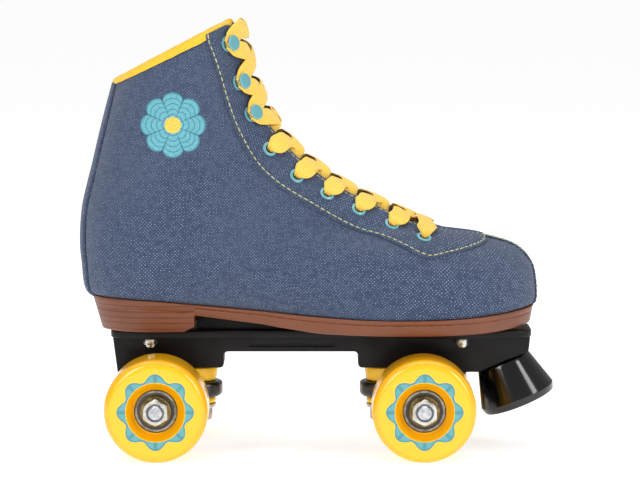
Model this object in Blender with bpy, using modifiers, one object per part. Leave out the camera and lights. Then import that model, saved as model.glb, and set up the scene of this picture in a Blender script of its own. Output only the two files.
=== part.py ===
"""A quad roller skate: a high lace-up boot on a plate with two sprung trucks and four wheels.

Units are metres. +X runs to the toe, +Z up, and the ground is z = 0 under the middle of the skate.
It is a right skate, so its outer side faces -Y and its inner side +Y.
"""

import math

import bmesh
import bpy
from mathutils import Matrix, Vector

MM = 0.001
GAP = 0.3 * MM  # left between pieces that touch
WELD = 0.01 * MM  # points closer than this become one
CREASE = math.radians(35)  # an edge that turns further than this is shaded sharp
THROUGH = 60.0 * MM  # the reach of a hole that goes right through a piece

# Wheels and bearings
WHEEL_RADIUS = 27.0 * MM
WHEEL_WIDTH = 32.0 * MM
WHEEL_LIP = 4.5 * MM
WHEEL_TRACK = 88.0 * MM  # between the middles of a pair of wheels
WHEEL_STEPS = 24
RECESS_RADIUS = 15.3 * MM  # the cone in a wheel's face, down to its bearing
RECESS_DEPTH = 5.0 * MM
BEARING_RADIUS = 11.0 * MM
BEARING_WIDTH = 7.0 * MM
BEARING_STEPS = 16
HUB_WEB_RADIUS = 9.0 * MM  # between a wheel's two bearings
AXLE_RADIUS = 4.0 * MM
AXLE_NUT_RADIUS = 7.2 * MM
AXLE_NUT_HEIGHT = 6.5 * MM
AXLE_END = 1.0 * MM  # how far the axle stands out of its nut
AXLE_CHAMFER = 0.7 * MM

# Trucks
REAR_AXLE_X = -84.9 * MM
WHEELBASE = 138.9 * MM
KINGPIN_INSET = 19.3 * MM  # from the axle towards the middle of the skate
PIVOT_OUTSET = 16.0 * MM  # from the axle towards the end of the skate
PIVOT_RISE = 14.0 * MM  # of the pivot over the axle
KINGPIN_RADIUS = 4.5 * MM
RING_RADIUS = 13.5 * MM
RING_HEIGHT = 8.6 * MM
RING_EDGE = 1.2 * MM
RING_DRAFT = 0.4 * MM  # less radius at its underside
RING_PLAY = 2.2 * MM  # between the ring and the kingpin, so that the truck can lean
BEAM_RADIUS = 8.5 * MM
BEAM_NOSE_RADIUS = 6.8 * MM
BEAM_SHORT = 1.5 * MM  # of the full beam, short of the wheel
BEAM_SHOULDER = 1.5 * MM
ARM_RADIUS = 4.8 * MM
TRUCK_WEB_HALF_WIDTH = 3.4 * MM
PIVOT_PIN_RADIUS = 3.6 * MM
PIVOT_PIN_LENGTH = 7.0 * MM
PIVOT_PIN_CHAMFER = 0.6 * MM
PIVOT_NECK = 1.0 * MM  # of full pin behind the cup, before the arm widens
PIVOT_CONE = 1.5 * MM  # along which it widens
ARM_START = 0.5 * MM  # outside the ring
CUP_WALL = 2.2 * MM
CUP_FLOOR = 1.6 * MM
UPPER_CUSHION_RADIUS = 11.2 * MM
UPPER_CUSHION_HEIGHT = 7.6 * MM
UPPER_CUSHION_DRAFT = 1.2 * MM  # less radius at its underside
UPPER_CUSHION_SWELL = 0.5 * MM
LOWER_CUSHION_RADIUS = 9.4 * MM
LOWER_CUSHION_HEIGHT = 3.2 * MM
LOWER_CUSHION_SWELL = 0.4 * MM
CUSHION_WASHER_HEIGHT = 2.6 * MM
CUSHION_WASHER_RIM = 0.5 * MM  # of radius more than the cushion at its top
CUSHION_WASHER_FOOT = 0.8 * MM  # of radius less at its underside
KINGPIN_NUT_RADIUS = 8.0 * MM
KINGPIN_NUT_HEIGHT = 6.0 * MM
KINGPIN_END = 1.5 * MM
KINGPIN_CHAMFER = 0.8 * MM
KINGPIN_ROOT = 9.0 * MM  # how deep the kingpin stands in the plate
SMALL_STEPS = 20

# Plate
PLATE_ABOVE_AXLE = 37.1 * MM  # from the axles to the plate's top
PLATE_THICKNESS = 4.0 * MM
PLATE_REAR_X = -111.0 * MM
PLATE_FRONT_X = 112.3 * MM
PLATE_HALF_WIDTH = 24.0 * MM
PLATE_WAIST_HALF_WIDTH = 17.0 * MM
CORE_HALF_WIDTH = 13.0 * MM
WEB_DEPTH = 12.0 * MM
BOSS_DEPTH = 20.7 * MM
LUG_BELOW_PIVOT = 5.4 * MM  # of the two lugs that hold the pivot cups
LUG_LENGTH = 12.5 * MM
LUG_BEYOND_PIVOT = 6.0 * MM
BOSS_MARGIN = 1.0 * MM  # of a kingpin's boss round the truck's ring
VAULT_RISE = 2.0 * MM  # of the plate over a truck, under its middle
CORE_INSET = 0.6 * MM  # of the core from the ends of the flange
STOP_SEAT_MARGIN = 0.5 * MM  # of the plate round the toe stop
PLATE_ROUND = 9.0 * MM
PLATE_END_SHARE = (0.75, 0.7)  # of the half width, at its rear and its front
WAIST_START = 16.0 * MM  # from a kingpin to where the plate is narrow
BORE_LEAD = 5.0 * MM  # how far outside a face a blind hole's cutter starts
CUP_LEAD = 20.0 * MM
REAR_BOLT_X = -89.7 * MM
FRONT_BOLT_X = 75.3 * MM
BOLT_HALF_SPACING = 18.0 * MM
BOLT_RADIUS = 2.0 * MM
BOLT_HEAD_RADIUS = 5.0 * MM
BOLT_HEAD_HEIGHT = 1.8 * MM
BOLT_END = 2.6 * MM  # below its nut
BOLT_NUT_RADIUS = 4.0 * MM
BOLT_NUT_HEIGHT = 4.0 * MM
BOLT_CHAMFER = 0.5 * MM
BOLT_HEAD_RIM = 0.6 * MM
BOLT_HEAD_CROWN = 0.6  # share of the head's radius that is flat on top
BOLT_STEPS = 12

# Toe stop
STOP_TILT = math.radians(22.3)  # of its axis from the vertical, foot forwards
STOP_X = 97.8 * MM  # the middle of its upper end
STOP_DROP = 17.7 * MM  # of that point under the plate's top
STOP_TOP_RADIUS = 14.2 * MM
STOP_FOOT_RADIUS = 20.6 * MM
STOP_HEIGHT = 24.3 * MM
STOP_ROUND = 3.2 * MM
STOP_BOLT_RADIUS = 4.0 * MM
STOP_BOLT_HEAD_RADIUS = 6.5 * MM
STOP_BOLT_HEAD_HEIGHT = 5.0 * MM
STOP_WELL_DEPTH = 12.0 * MM
STOP_THREAD = 14.0 * MM
STOP_WASHER_HEIGHT = 1.5 * MM
STOP_WASHER_RIM = 0.8 * MM  # beyond the bolt's head
STOP_WELL_MARGIN = 1.5 * MM  # round the bolt's head
STOP_DOME = 1.4 * MM  # of its foot
STOP_SOCKET_RADIUS = 2.6 * MM  # for a key, in the bolt's head
STOP_SOCKET_DEPTH = 2.5 * MM

# Boot
FABRIC = 2.5 * MM  # canvas, padding and lining together
SOLE_MARGIN = 1.8 * MM
HEEL_TAPER = 5.0 * MM
SOLE_TAPER = 1.6 * MM
HEEL_BREAST_X = -66.0 * MM
BOARD_THICKNESS = 2.0 * MM
FOOTBED_THICKNESS = 4.2 * MM
FACING_THICKNESS = 1.2 * MM
FACING_LIFT = 0.9 * MM  # of the facing over the upper
TONGUE_LIFT = 1.3 * MM  # of the upper over the tongue
TONGUE_THICKNESS = 3.6 * MM
TONGUE_HALF_WIDTH = 24.0 * MM
TONGUE_START = 4.8  # the ring where the tongue is sewn to the upper
TONGUE_DROP = 0.25  # in rings, of its end under the collar
THROAT_HALF_WIDTH = 13.0 * MM
THROAT_LEVEL = 5.0  # the ring of the boot on which the lacing gap starts
BINDING_RADIUS = 1.8 * MM
LACE_RADIUS = 1.1 * MM
HOOK_BASE_RADIUS = 4.2 * MM
HOOK_CAP_RADIUS = 3.7 * MM
HOOK_HEIGHT = 5.6 * MM
HOOK_CAP_CROWN = 0.7 * MM
HOOK_FILLET = 0.4 * MM
BACK_ROUND = 33.0 * MM  # radius of the heel's round back
TOE_SWING = 5.0 * MM  # of the toe towards the inner side
TOE_SWING_X = 115.0 * MM  # where the toe has swung that far
FULL_LEVEL = 2.0  # the ring on which the boot has its fullest outline
THROAT_ROUND = 0.7  # in rings, of the lacing gap's round end
FACING_SEAM = 0.012  # the turn where the two facings meet ahead of the gap
FACING_SPREAD = 1.15  # above 1, the facing's rows lie closer at the toe
HEEL_FACE = 1.2 * MM  # either side of the heel's front face
INSOLE_MARGIN = 1.6 * MM  # inside the upper
INSET_FADE = 10.0 * MM  # an inset fades out where the sole is narrower than this
STATION_GAP = 2.0 * MM  # the least between two sections of the sole
SOLE_HALF_WIDTH = 40.0 * MM  # at which a taper counts in full
BINDING_SETBACK = 0.03  # in turns, of the binding's end behind the facing
LACE_SPREAD = 0.13  # in rings, between the two strands at a stop
LACE_TURN_OUT = 0.012  # in turns, of the lace beyond a stop
HOOK_NECK_RADIUS = 1.6 * MM
HOOK_PLATE = 1.1 * MM  # thickness of its base and of its cap

# The boot's rings, from the seam at the sole up to the collar: where each ring meets the front and
# the back of the boot (x and height over the plate), and the length over which its front rounds.
RINGS = (
    (112.3, 11.0, -119.5, 18.0, 55.0),
    (115.2, 20.0, -124.3, 26.0, 58.0),
    (113.0, 33.0, -125.8, 35.0, 72.0),
    (104.0, 43.0, -126.6, 44.0, 115.0),
    (86.0, 48.6, -126.4, 54.0, 165.0),
    (64.0, 52.0, -125.3, 65.0, 180.0),
    (37.0, 63.5, -122.8, 76.0, 150.0),
    (8.0, 78.5, -119.7, 88.0, 110.0),
    (-17.0, 99.5, -116.6, 101.0, 72.0),
    (-34.0, 126.0, -112.8, 116.0, 46.0),
    (-43.5, 163.0, -108.8, 130.5, 38.0),
)
COLLAR = len(RINGS) - 1
# Half widths of the boot along x: at the sole, then at its fullest, each outer then inner.
SOLE_PLAN = (
    (-127.0, 31.0, 31.0),
    (-90.0, 31.0, 31.0),
    (-40.0, 29.0, 26.5),
    (-8.0, 33.0, 29.0),
    (35.0, 45.0, 43.0),
    (75.0, 44.0, 44.5),
    (116.0, 38.0, 42.0),
)
BODY_PLAN = (
    (-127.0, 33.0, 33.0),
    (-95.0, 33.5, 33.5),
    (-50.0, 36.5, 35.5),
    (-8.0, 40.5, 38.5),
    (35.0, 46.5, 45.0),
    (75.0, 45.5, 46.0),
    (116.0, 39.0, 43.0),
)
# The seam between boot and sole, and the underside of the sole ahead of the heel, over the plate.
SOLE_TOP = (
    (-130.0, 18.2),
    (-95.0, 17.6),
    (-62.0, 14.8),
    (-31.0, 12.0),
    (-6.0, 9.7),
    (20.0, 8.6),
    (60.0, 8.6),
    (90.0, 9.6),
    (117.0, 12.0),
)
SOLE_UNDERSIDE = (
    (-66.0, 9.4),
    (-30.0, 4.8),
    (-12.0, 1.9),
    (2.0, 0.3),
    (84.0, 0.3),
    (100.0, 1.2),
    (117.0, 3.2),
)
# The outer edge of the lacing's facing in side view, from the toe up to the collar.
FACING_EDGE = (
    (69.5, 42.2),
    (51.0, 41.6),
    (24.0, 52.6),
    (-9.0, 69.0),
    (-31.5, 85.6),
    (-43.2, 104.4),
    (-52.4, 132.0),
    (-60.0, 155.0),
)
FACING_TOE_LEVEL = 4.1
# Side view of the eyelets and of the hooks above them, from the toe up.
EYELETS = (
    (54.1, 49.0),
    (37.1, 55.6),
    (19.7, 63.6),
    (3.1, 71.8),
    (-12.9, 81.4),
    (-27.3, 95.7),
)
HOOKS = (
    (-36.1, 113.0),
    (-42.2, 129.5),
    (-47.9, 149.2),
)
LACE_HOOK_INSET = 6.6 * MM  # the lace turns this far in front of a hook

LUG_DEPTH = PLATE_ABOVE_AXLE - PIVOT_RISE + LUG_BELOW_PIVOT
AXLE_Z = WHEEL_RADIUS * math.cos(math.pi / WHEEL_STEPS)
PLATE_TOP = AXLE_Z + PLATE_ABOVE_AXLE
UP = Vector((0, 0, 1))


# ---- Collections, materials and small shape makers ----------------------------------------


def clear_scene():
    for obj in list(bpy.data.objects):
        bpy.data.objects.remove(obj, do_unlink=True)


def collection(name):
    made = bpy.data.collections.new(name)
    bpy.context.scene.collection.children.link(made)
    return made


def material(name, colour, roughness, metallic=0.0):
    made = bpy.data.materials.new(name)
    made.use_nodes = True
    shader = made.node_tree.nodes["Principled BSDF"]
    shader.inputs["Base Color"].default_value = (*colour, 1)
    shader.inputs["Roughness"].default_value = roughness
    shader.inputs["Metallic"].default_value = metallic
    return made


def add_mesh(name, mesh, finish, where=None):
    """An object for a mesh, among the parts unless another collection is given."""
    obj = bpy.data.objects.new(name, mesh)
    (where or parts).objects.link(obj)
    if finish:
        mesh.materials.clear()
        mesh.materials.append(finish)
    return obj


def mesh_of(bm, smooth=True):
    mesh = bpy.data.meshes.new("shape")
    bm.to_mesh(mesh)
    bm.free()
    if smooth:
        mesh.shade_smooth()
        mesh.set_sharp_from_angle(angle=CREASE)
    return mesh


def frame_along(axis, origin=(0, 0, 0)):
    """A placement whose own Z axis points along the given axis."""
    turn = UP.rotation_difference(Vector(axis))
    return Matrix.Translation(Vector(origin)) @ turn.to_matrix().to_4x4()


def cylinder(radius, length, steps=SMALL_STEPS, start=0.0, end_radius=None):
    """A closed cylinder or cone on the Z axis from z = start up to start + length."""
    bm = bmesh.new()
    bmesh.ops.create_cone(
        bm,
        cap_ends=True,
        segments=steps,
        radius1=radius,
        radius2=radius if end_radius is None else end_radius,
        depth=length,
        matrix=Matrix.Translation((0, 0, start + length / 2)),
    )
    return mesh_of(bm)


def block(low, high):
    """A closed box between two corners."""
    bm = bmesh.new()
    size = Vector(high) - Vector(low)
    middle = (Vector(high) + Vector(low)) / 2
    place = Matrix.Translation(middle) @ Matrix.Diagonal((*size, 1))
    bmesh.ops.create_cube(bm, size=1, matrix=place)
    return mesh_of(bm, smooth=False)


def turned(profile, steps):
    """A profile of radius and height, outer side top to bottom, turned about the Z axis.

    A profile that starts and ends on the axis gives a solid, any other one closes to a ring.
    """
    bm = bmesh.new()
    corners = [bm.verts.new((radius, 0, height)) for radius, height in profile]
    for a, b in zip(corners, corners[1:]):
        bm.edges.new((a, b))
    if profile[0][0] > 0:
        bm.edges.new((corners[-1], corners[0]))
    guide = add_mesh("profile", mesh_of(bm, smooth=False), None, cutters)
    screw = guide.modifiers.new("turn", "SCREW")
    screw.steps = steps
    screw.render_steps = steps
    screw.use_merge_vertices = True
    screw.merge_threshold = WELD
    shape = evaluated_mesh(guide)
    bpy.data.objects.remove(guide, do_unlink=True)
    shape.shade_smooth()
    shape.set_sharp_from_angle(angle=CREASE)
    return shape


def evaluated_mesh(obj):
    graph = bpy.context.evaluated_depsgraph_get()
    graph.update()
    return bpy.data.meshes.new_from_object(obj.evaluated_get(graph))


def prism(outline, low, high):
    """A flat outline, filled and raised from z = low to z = high."""
    curve = bpy.data.curves.new("outline", "CURVE")
    curve.dimensions = "2D"
    curve.fill_mode = "BOTH"
    curve.extrude = (high - low) / 2
    spline = curve.splines.new("POLY")
    spline.points.add(len(outline) - 1)
    for point, (x, y) in zip(spline.points, outline):
        point.co = (x, y, 0, 1)
    spline.use_cyclic_u = True
    guide = bpy.data.objects.new("outline", curve)
    cutters.objects.link(guide)
    shape = evaluated_mesh(guide)
    bpy.data.objects.remove(guide, do_unlink=True)
    bm = bmesh.new()
    bm.from_mesh(shape)
    bmesh.ops.remove_doubles(bm, verts=bm.verts, dist=WELD)
    bmesh.ops.translate(bm, verts=bm.verts, vec=(0, 0, (low + high) / 2))
    return mesh_of(bm, smooth=False)


def rounded(outline, radius, steps=4):
    """An outline with each corner replaced by an arc, or a shorter one where the sides are short."""
    result = []
    count = len(outline)
    for i in range(count):
        corner = Vector(outline[i])
        before = Vector(outline[i - 1]) - corner
        after = Vector(outline[(i + 1) % count]) - corner
        opening = before.angle(after) / 2
        reach = min(radius / math.tan(opening), before.length * 0.45, after.length * 0.45)
        start = corner + before.normalized() * reach
        end = corner + after.normalized() * reach
        for k in range(steps + 1):
            t = k / steps
            point = start * (1 - t) ** 2 + corner * 2 * t * (1 - t) + end * t**2
            result.append((point.x, point.y))
    return result


def tool(name, mesh, place=None):
    """A guide solid that other pieces are cut with or joined to; it isn't itself a piece."""
    obj = add_mesh(name, mesh, None, cutters)
    obj.hide_render = True
    obj.display_type = "WIRE"
    if place:
        obj.matrix_world = place
    return obj


def combine(piece, other, operation):
    step = piece.modifiers.new(operation.lower(), "BOOLEAN")
    step.operation = operation
    step.object = other


def bore(piece, radius, axis, start, length, steps=SMALL_STEPS):
    """Cuts a round hole from a start point along an axis."""
    place = frame_along(axis, start)
    combine(piece, tool(f"{piece.name}_hole", cylinder(radius, length, steps), place), "DIFFERENCE")


def held(name, place):
    """An empty that carries the pieces of one moving body."""
    empty = bpy.data.objects.new(name, None)
    empty.empty_display_size = 0.01
    empty.matrix_world = place
    parts.objects.link(empty)
    return empty


def put(piece, place, parent=None):
    """Places a piece in the world, under a parent if it has one."""
    if parent:
        piece.parent = parent
        piece.matrix_parent_inverse = parent.matrix_world.inverted()
    piece.matrix_world = place
    return piece


# ---- The boot's surface ----------------------------------------------------------------------


def between(rows, place):
    """The rows' values at a place between them, on a smooth curve through all of them."""
    last = len(rows) - 1
    step = max(0, min(int(place), last - 1))
    t = place - step
    near = rows[step]
    far = rows[step + 1]
    before = rows[step - 1] if step > 0 else [2 * a - b for a, b in zip(near, far)]
    after = rows[step + 2] if step + 2 <= last else [2 * b - a for a, b in zip(near, far)]
    values = []
    for p, a, b, q in zip(before, near, far, after):
        rise = (b - p) / 2
        fall = (q - a) / 2
        values.append(
            a + rise * t + (3 * (b - a) - 2 * rise - fall) * t**2 + (2 * (a - b) + rise + fall) * t**3
        )
    return values


def at_x(points, x):
    """The values of a table at a given x, in metres, between its points on a smooth curve."""
    x = x / MM
    place = 0.0
    for i, (a, b) in enumerate(zip(points, points[1:])):
        if x >= a[0]:
            place = i + min(1.0, (x - a[0]) / (b[0] - a[0]))
    return [value * MM for value in between(points, place)][1:]


def ring(level):
    """The front x and z, the back x and z, and the front's rounding, of one ring of the boot."""
    front_x, front_z, back_x, back_z, rounding = (v * MM for v in between(RINGS, level))
    return front_x, front_z + PLATE_TOP, back_x, back_z + PLATE_TOP, rounding


def sole_top(x):
    return PLATE_TOP + at_x(SOLE_TOP, x)[0]


def sole_underside(x):
    if x < HEEL_BREAST_X:
        return PLATE_TOP + GAP
    return PLATE_TOP + at_x(SOLE_UNDERSIDE, x)[0]


def round_end(distance, length):
    """The share of the full width at a distance from a rounded end."""
    return math.sqrt(max(0.0, 1 - (1 - min(1.0, distance / length)) ** 2))


def toe_swing(x):
    """How far the middle of the boot has swung to the inner side at x."""
    return TOE_SWING * max(0.0, x / TOE_SWING_X) ** 2


def bare_point(level, turn):
    """A point of the boot's outside.

    turn is 0 at the front middle and goes to 1 at the back along the inner side, or to -1 along
    the outer side.
    """
    front_x, front_z, back_x, back_z, rounding = ring(level)
    share = (1 - math.cos(math.pi * turn)) / 2
    x = front_x + (back_x - front_x) * share
    z = front_z + (back_z - front_z) * share
    length = math.hypot(front_x - back_x, front_z - back_z)
    side = 1 if turn > 0 else 0
    full = min(1.0, level / FULL_LEVEL)
    full = full * full * (3 - 2 * full)
    width = at_x(SOLE_PLAN, x)[side] * (1 - full) + at_x(BODY_PLAN, x)[side] * full
    if level < FULL_LEVEL:
        z += (sole_top(x) + GAP - z) * (1 - full)
    width *= round_end(share * length, rounding)
    width *= round_end((1 - share) * length, BACK_ROUND)
    return Vector((x, toe_swing(x) + math.copysign(width, turn), z))


def boot_normal(level, turn):
    step = 0.01
    low = max(0.0, level - step)
    high = min(COLLAR, level + step)
    around = bare_point(level, turn + step) - bare_point(level, turn - step)
    upwards = bare_point(high, turn) - bare_point(low, turn)
    return around.cross(upwards).normalized()


def boot_point(level, turn, out=0.0):
    """A point at a distance outside the boot's surface, or inside it where that is negative."""
    return bare_point(level, turn) + boot_normal(level, turn) * out


def turn_at_share(share):
    return math.acos(1 - 2 * max(0.0, min(1.0, share))) / math.pi


def turn_at_width(level, half_width):
    """The turn where the front of a ring has opened to a half width."""
    front_x, front_z, back_x, back_z, rounding = ring(level)
    full = at_x(BODY_PLAN, front_x)[0]
    distance = rounding * (1 - math.sqrt(max(0.0, 1 - (half_width / full) ** 2)))
    return turn_at_share(distance / math.hypot(front_x - back_x, front_z - back_z))


def place_of(x, z):
    """The level and the turn of the boot's surface behind a point of the side view, in mm."""
    x = x * MM
    z = z * MM + PLATE_TOP
    low = 0.0
    high = float(COLLAR)
    for _ in range(30):
        middle = (low + high) / 2
        front_x, front_z, back_x, back_z, _ = ring(middle)
        share = (front_x - x) / (front_x - back_x)
        if front_z + (back_z - front_z) * share < z:
            low = middle
        else:
            high = middle
    front_x, front_z, back_x, back_z, _ = ring(low)
    return low, turn_at_share((front_x - x) / (front_x - back_x))


def throat_turn(level):
    """The edge of the lacing gap on one ring: nothing below its start, then a round end."""
    if level <= THROAT_LEVEL:
        return 0.0
    return turn_at_width(level, THROAT_HALF_WIDTH * round_end(level - THROAT_LEVEL, THROAT_ROUND))


def sheet_mesh(rows, close=False):
    """A surface through rows of points, with merged points where they meet."""
    bm = bmesh.new()
    grid = [[bm.verts.new(point) for point in row] for row in rows]
    for lower, upper in zip(grid, grid[1:]):
        for i in range(len(lower) - 1):
            bm.faces.new((lower[i], lower[i + 1], upper[i + 1], upper[i]))
        if close:
            bm.faces.new((lower[-1], lower[0], upper[0], upper[-1]))
    bmesh.ops.remove_doubles(bm, verts=bm.verts, dist=WELD)
    bmesh.ops.dissolve_degenerate(bm, edges=bm.edges, dist=WELD)
    return mesh_of(bm)


def thicken(piece, thickness, inwards):
    wall = piece.modifiers.new("wall", "SOLIDIFY")
    wall.thickness = thickness
    wall.offset = -1 if inwards else 1
    wall.use_even_offset = False


# ---- Boot ------------------------------------------------------------------------------------


def boot_upper():
    rows = []
    levels = [i / 2 for i in range(COLLAR * 2 + 1)]
    across = 13
    for level in levels:
        edge = throat_turn(level)
        row = []
        for i in range(across):
            row.append(edge + (1 - edge) * i / across)
        turns = [-turn for turn in row] + [1.0] + row[::-1]
        rows.append([boot_point(level, turn) for turn in turns])
    # The rows run from the front along the outer side to the back and home along the inner side.
    piece = add_mesh("boot_upper", sheet_mesh([row[::-1] for row in rows]), denim)
    thicken(piece, FABRIC, inwards=True)
    return piece


def tongue():
    inside = -(FABRIC + TONGUE_LIFT)
    rows = []
    for i in range(13):
        level = TONGUE_START + (COLLAR - TONGUE_DROP - TONGUE_START) * i / 12
        half = turn_at_width(level, TONGUE_HALF_WIDTH)
        rows.append([boot_point(level, half * k / 4, inside) for k in range(-4, 5)])
    piece = add_mesh("tongue", sheet_mesh(rows), denim)
    thicken(piece, TONGUE_THICKNESS, inwards=True)
    return piece


def facing(side, name):
    """A strip along the lacing gap, from a point ahead of the gap up to the collar."""
    outline = [(FACING_TOE_LEVEL, 0.0)]
    outline += [place_of(x, z) for x, z in FACING_EDGE]
    outline.append((COLLAR, place_of(*FACING_EDGE[-1])[1]))
    rows = []
    steps = 18
    across = 4
    for i in range(steps + 1):
        t = i / steps
        level = THROAT_LEVEL + (COLLAR - THROAT_LEVEL) * t**FACING_SPREAD
        near = (level, max(throat_turn(level), FACING_SEAM))
        far = between(outline, t * (len(outline) - 1))
        row = []
        for k in range(across + 1):
            s = k / across
            at = near[0] + (far[0] - near[0]) * s
            turn = max(FACING_SEAM, near[1] + (far[1] - near[1]) * s)
            row.append(boot_point(min(at, COLLAR), side * turn, FACING_LIFT))
        rows.append(row if side > 0 else row[::-1])
    piece = add_mesh(name, sheet_mesh(rows), denim)
    thicken(piece, FACING_THICKNESS, inwards=False)
    return piece


def tube(name, points, radius, finish, sides=2):
    """A round cord through the points."""
    curve = bpy.data.curves.new(name, "CURVE")
    curve.dimensions = "3D"
    curve.bevel_depth = radius
    curve.bevel_resolution = sides
    curve.use_fill_caps = True
    curve.materials.append(finish)
    spline = curve.splines.new("POLY")
    spline.points.add(len(points) - 1)
    for target, point in zip(spline.points, points):
        target.co = (*point, 1)
    obj = bpy.data.objects.new(name, curve)
    parts.objects.link(obj)
    return obj


def collar_binding():
    """The rolled tape on the collar's edge, from one facing round the back to the other."""
    start = place_of(*FACING_EDGE[-1])[1] + BINDING_SETBACK
    points = []
    for i in range(31):
        turn = start + (2 - 2 * start) * i / 30
        if turn > 1:
            turn -= 2
        rise = (boot_point(COLLAR, turn) - boot_point(COLLAR - 0.2, turn)).normalized()
        points.append(boot_point(COLLAR, turn, -FABRIC / 2) + rise * (BINDING_RADIUS + 2 * GAP))
    return tube("collar_binding", points, BINDING_RADIUS, yellow_tape)


def lace():
    """One cord that crosses over the tongue from the top hooks down to the lowest eyelets."""
    stops = [place_of(x, z) for x, z in EYELETS]
    for x, z in HOOKS:
        level, turn = place_of(x, z)
        front_x, front_z, back_x, back_z, _ = ring(level)
        share = (1 - math.cos(math.pi * turn)) / 2 - LACE_HOOK_INSET / (front_x - back_x)
        stops.append((level, turn_at_share(share)))
    low = FACING_LIFT + FACING_THICKNESS + 3 * GAP + LACE_RADIUS
    high = low + 2 * LACE_RADIUS + 2 * GAP

    def strand(side):
        """Points from the lowest stop up, starting on one side; the high strand starts outside."""
        points = []
        for i in range(len(stops) - 1):
            here = stops[i]
            there = stops[i + 1]
            for k in range(5):
                s = (k + 0.5) / 5
                level = here[0] + LACE_SPREAD + (there[0] - here[0] - 2 * LACE_SPREAD) * s
                turn = (1 - s) * here[1] - s * there[1]
                over = high if side > 0 else low
                lift = low + (over - low) * math.sin(math.pi * s) ** 0.5
                points.append(boot_point(level, side * turn, lift))
            side = -side
            points.append(boot_point(there[0], side * (there[1] + LACE_TURN_OUT), low))
        return points

    outer = strand(-1)
    inner = strand(1)
    bar = []
    level, turn = stops[0]
    for k in range(9):
        s = k / 8
        bar.append(boot_point(level - LACE_SPREAD / 2, turn * (2 * s - 1), low))
    return tube("lace", outer[::-1] + bar + inner, LACE_RADIUS, yellow_tape)


def lace_hook(name, x, z, side):
    """A speed hook: a riveted base, a neck and a cap that the lace goes under."""
    profile = (
        (0, HOOK_HEIGHT),
        (HOOK_CAP_RADIUS, HOOK_HEIGHT - HOOK_CAP_CROWN),
        (HOOK_CAP_RADIUS, HOOK_HEIGHT - HOOK_PLATE),
        (HOOK_NECK_RADIUS, HOOK_HEIGHT - HOOK_PLATE - HOOK_FILLET),
        (HOOK_NECK_RADIUS, HOOK_PLATE),
        (HOOK_BASE_RADIUS, HOOK_PLATE - HOOK_FILLET),
        (HOOK_BASE_RADIUS, 0),
        (0, 0),
    )
    level, turn = place_of(x, z)
    seat = boot_point(level, side * turn, FACING_LIFT + FACING_THICKNESS + 2 * GAP)
    piece = add_mesh(name, turned(profile, 12), teal)
    return put(piece, frame_along(boot_normal(level, side * turn), seat))


def footprint(x, inset, side):
    """The half width of the seam's outline at x, less an inset."""
    front_x, _, back_x, _, _ = ring(0)
    turn = side * turn_at_share((front_x - inset - x) / (front_x - back_x - 2 * inset))
    point = bare_point(0, turn)
    full = abs(point.y - toe_swing(point.x))
    return toe_swing(x) + side * max(0.0, full - inset * min(1.0, full / INSET_FADE))


def slab(name, finish, inset, lower, upper, taper, stations, extra=()):
    """A solid under the foot: cross-sections at stations along x, between two height curves."""
    front_x, _, back_x, _, _ = ring(0)
    front_x -= inset
    back_x += inset
    places = [front_x + (back_x - front_x) * (1 - math.cos(math.pi * i / stations)) / 2
              for i in range(stations + 1)]
    places = sorted([x for x in places if all(abs(x - e) > STATION_GAP for e in extra)] + list(extra))
    rows = []
    for x in places:
        narrow = taper(x)
        squeeze = 1 - narrow / SOLE_HALF_WIDTH
        low_x = x
        if x < back_x + BACK_ROUND:
            low_x = x + narrow * (1 - (x - back_x) / BACK_ROUND)
        if x > front_x - BACK_ROUND:
            low_x = x - narrow * (1 - (front_x - x) / BACK_ROUND)
        outer = footprint(x, inset, -1)
        inner = footprint(x, inset, 1)
        rows.append(
            [
                Vector((low_x, outer * squeeze, lower(x))),
                Vector((low_x, inner * squeeze, lower(x))),
                Vector((x, inner, upper(x))),
                Vector((x, outer, upper(x))),
            ]
        )
    bm = bmesh.new()
    grid = [[bm.verts.new(point) for point in row] for row in rows]
    for a, b in zip(grid, grid[1:]):
        for i in range(4):
            bm.faces.new((a[i], a[(i + 1) % 4], b[(i + 1) % 4], b[i]))
    bm.faces.new(grid[0][::-1])
    bm.faces.new(grid[-1])
    bmesh.ops.remove_doubles(bm, verts=bm.verts, dist=WELD)
    bmesh.ops.dissolve_degenerate(bm, edges=bm.edges, dist=WELD)
    bmesh.ops.recalc_face_normals(bm, faces=bm.faces)
    return add_mesh(name, mesh_of(bm), finish)


def bolt_places():
    return [
        (f"{end}_{side}", x, y)
        for end, x in (("rear", REAR_BOLT_X), ("front", FRONT_BOLT_X))
        for side, y in (("outer", -BOLT_HALF_SPACING), ("inner", BOLT_HALF_SPACING))
    ]


def board_top(x):
    return sole_top(x) + 2 * GAP + BOARD_THICKNESS


def footbed_bottom(x):
    return board_top(x) + GAP


def sole_parts():
    def sole_taper(x):
        return HEEL_TAPER if x < HEEL_BREAST_X else SOLE_TAPER

    sole = slab(
        "sole", sole_brown, -SOLE_MARGIN, sole_underside, sole_top, sole_taper, 38,
        (HEEL_BREAST_X - HEEL_FACE, HEEL_BREAST_X + HEEL_FACE),
    )
    inset = FABRIC + INSOLE_MARGIN
    board = slab(
        "insole_board", board_tan, inset, lambda x: sole_top(x) + GAP, board_top, lambda x: 0, 24,
    )
    footbed = slab(
        "footbed", lining_blue, inset, footbed_bottom,
        lambda x: footbed_bottom(x) + FOOTBED_THICKNESS, lambda x: 0, 24,
    )
    for _, x, y in bolt_places():
        low = (x, y, PLATE_TOP - THROUGH / 2)
        bore(sole, BOLT_RADIUS + GAP, UP, low, THROUGH, BOLT_STEPS)
        bore(board, BOLT_RADIUS + GAP, UP, low, THROUGH, BOLT_STEPS)
        pocket = (x, y, board_top(x) - BOARD_THICKNESS)
        depth = BOARD_THICKNESS + BOLT_HEAD_HEIGHT + 4 * GAP
        bore(footbed, BOLT_HEAD_RADIUS + 2 * GAP, UP, pocket, depth, 16)


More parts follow.
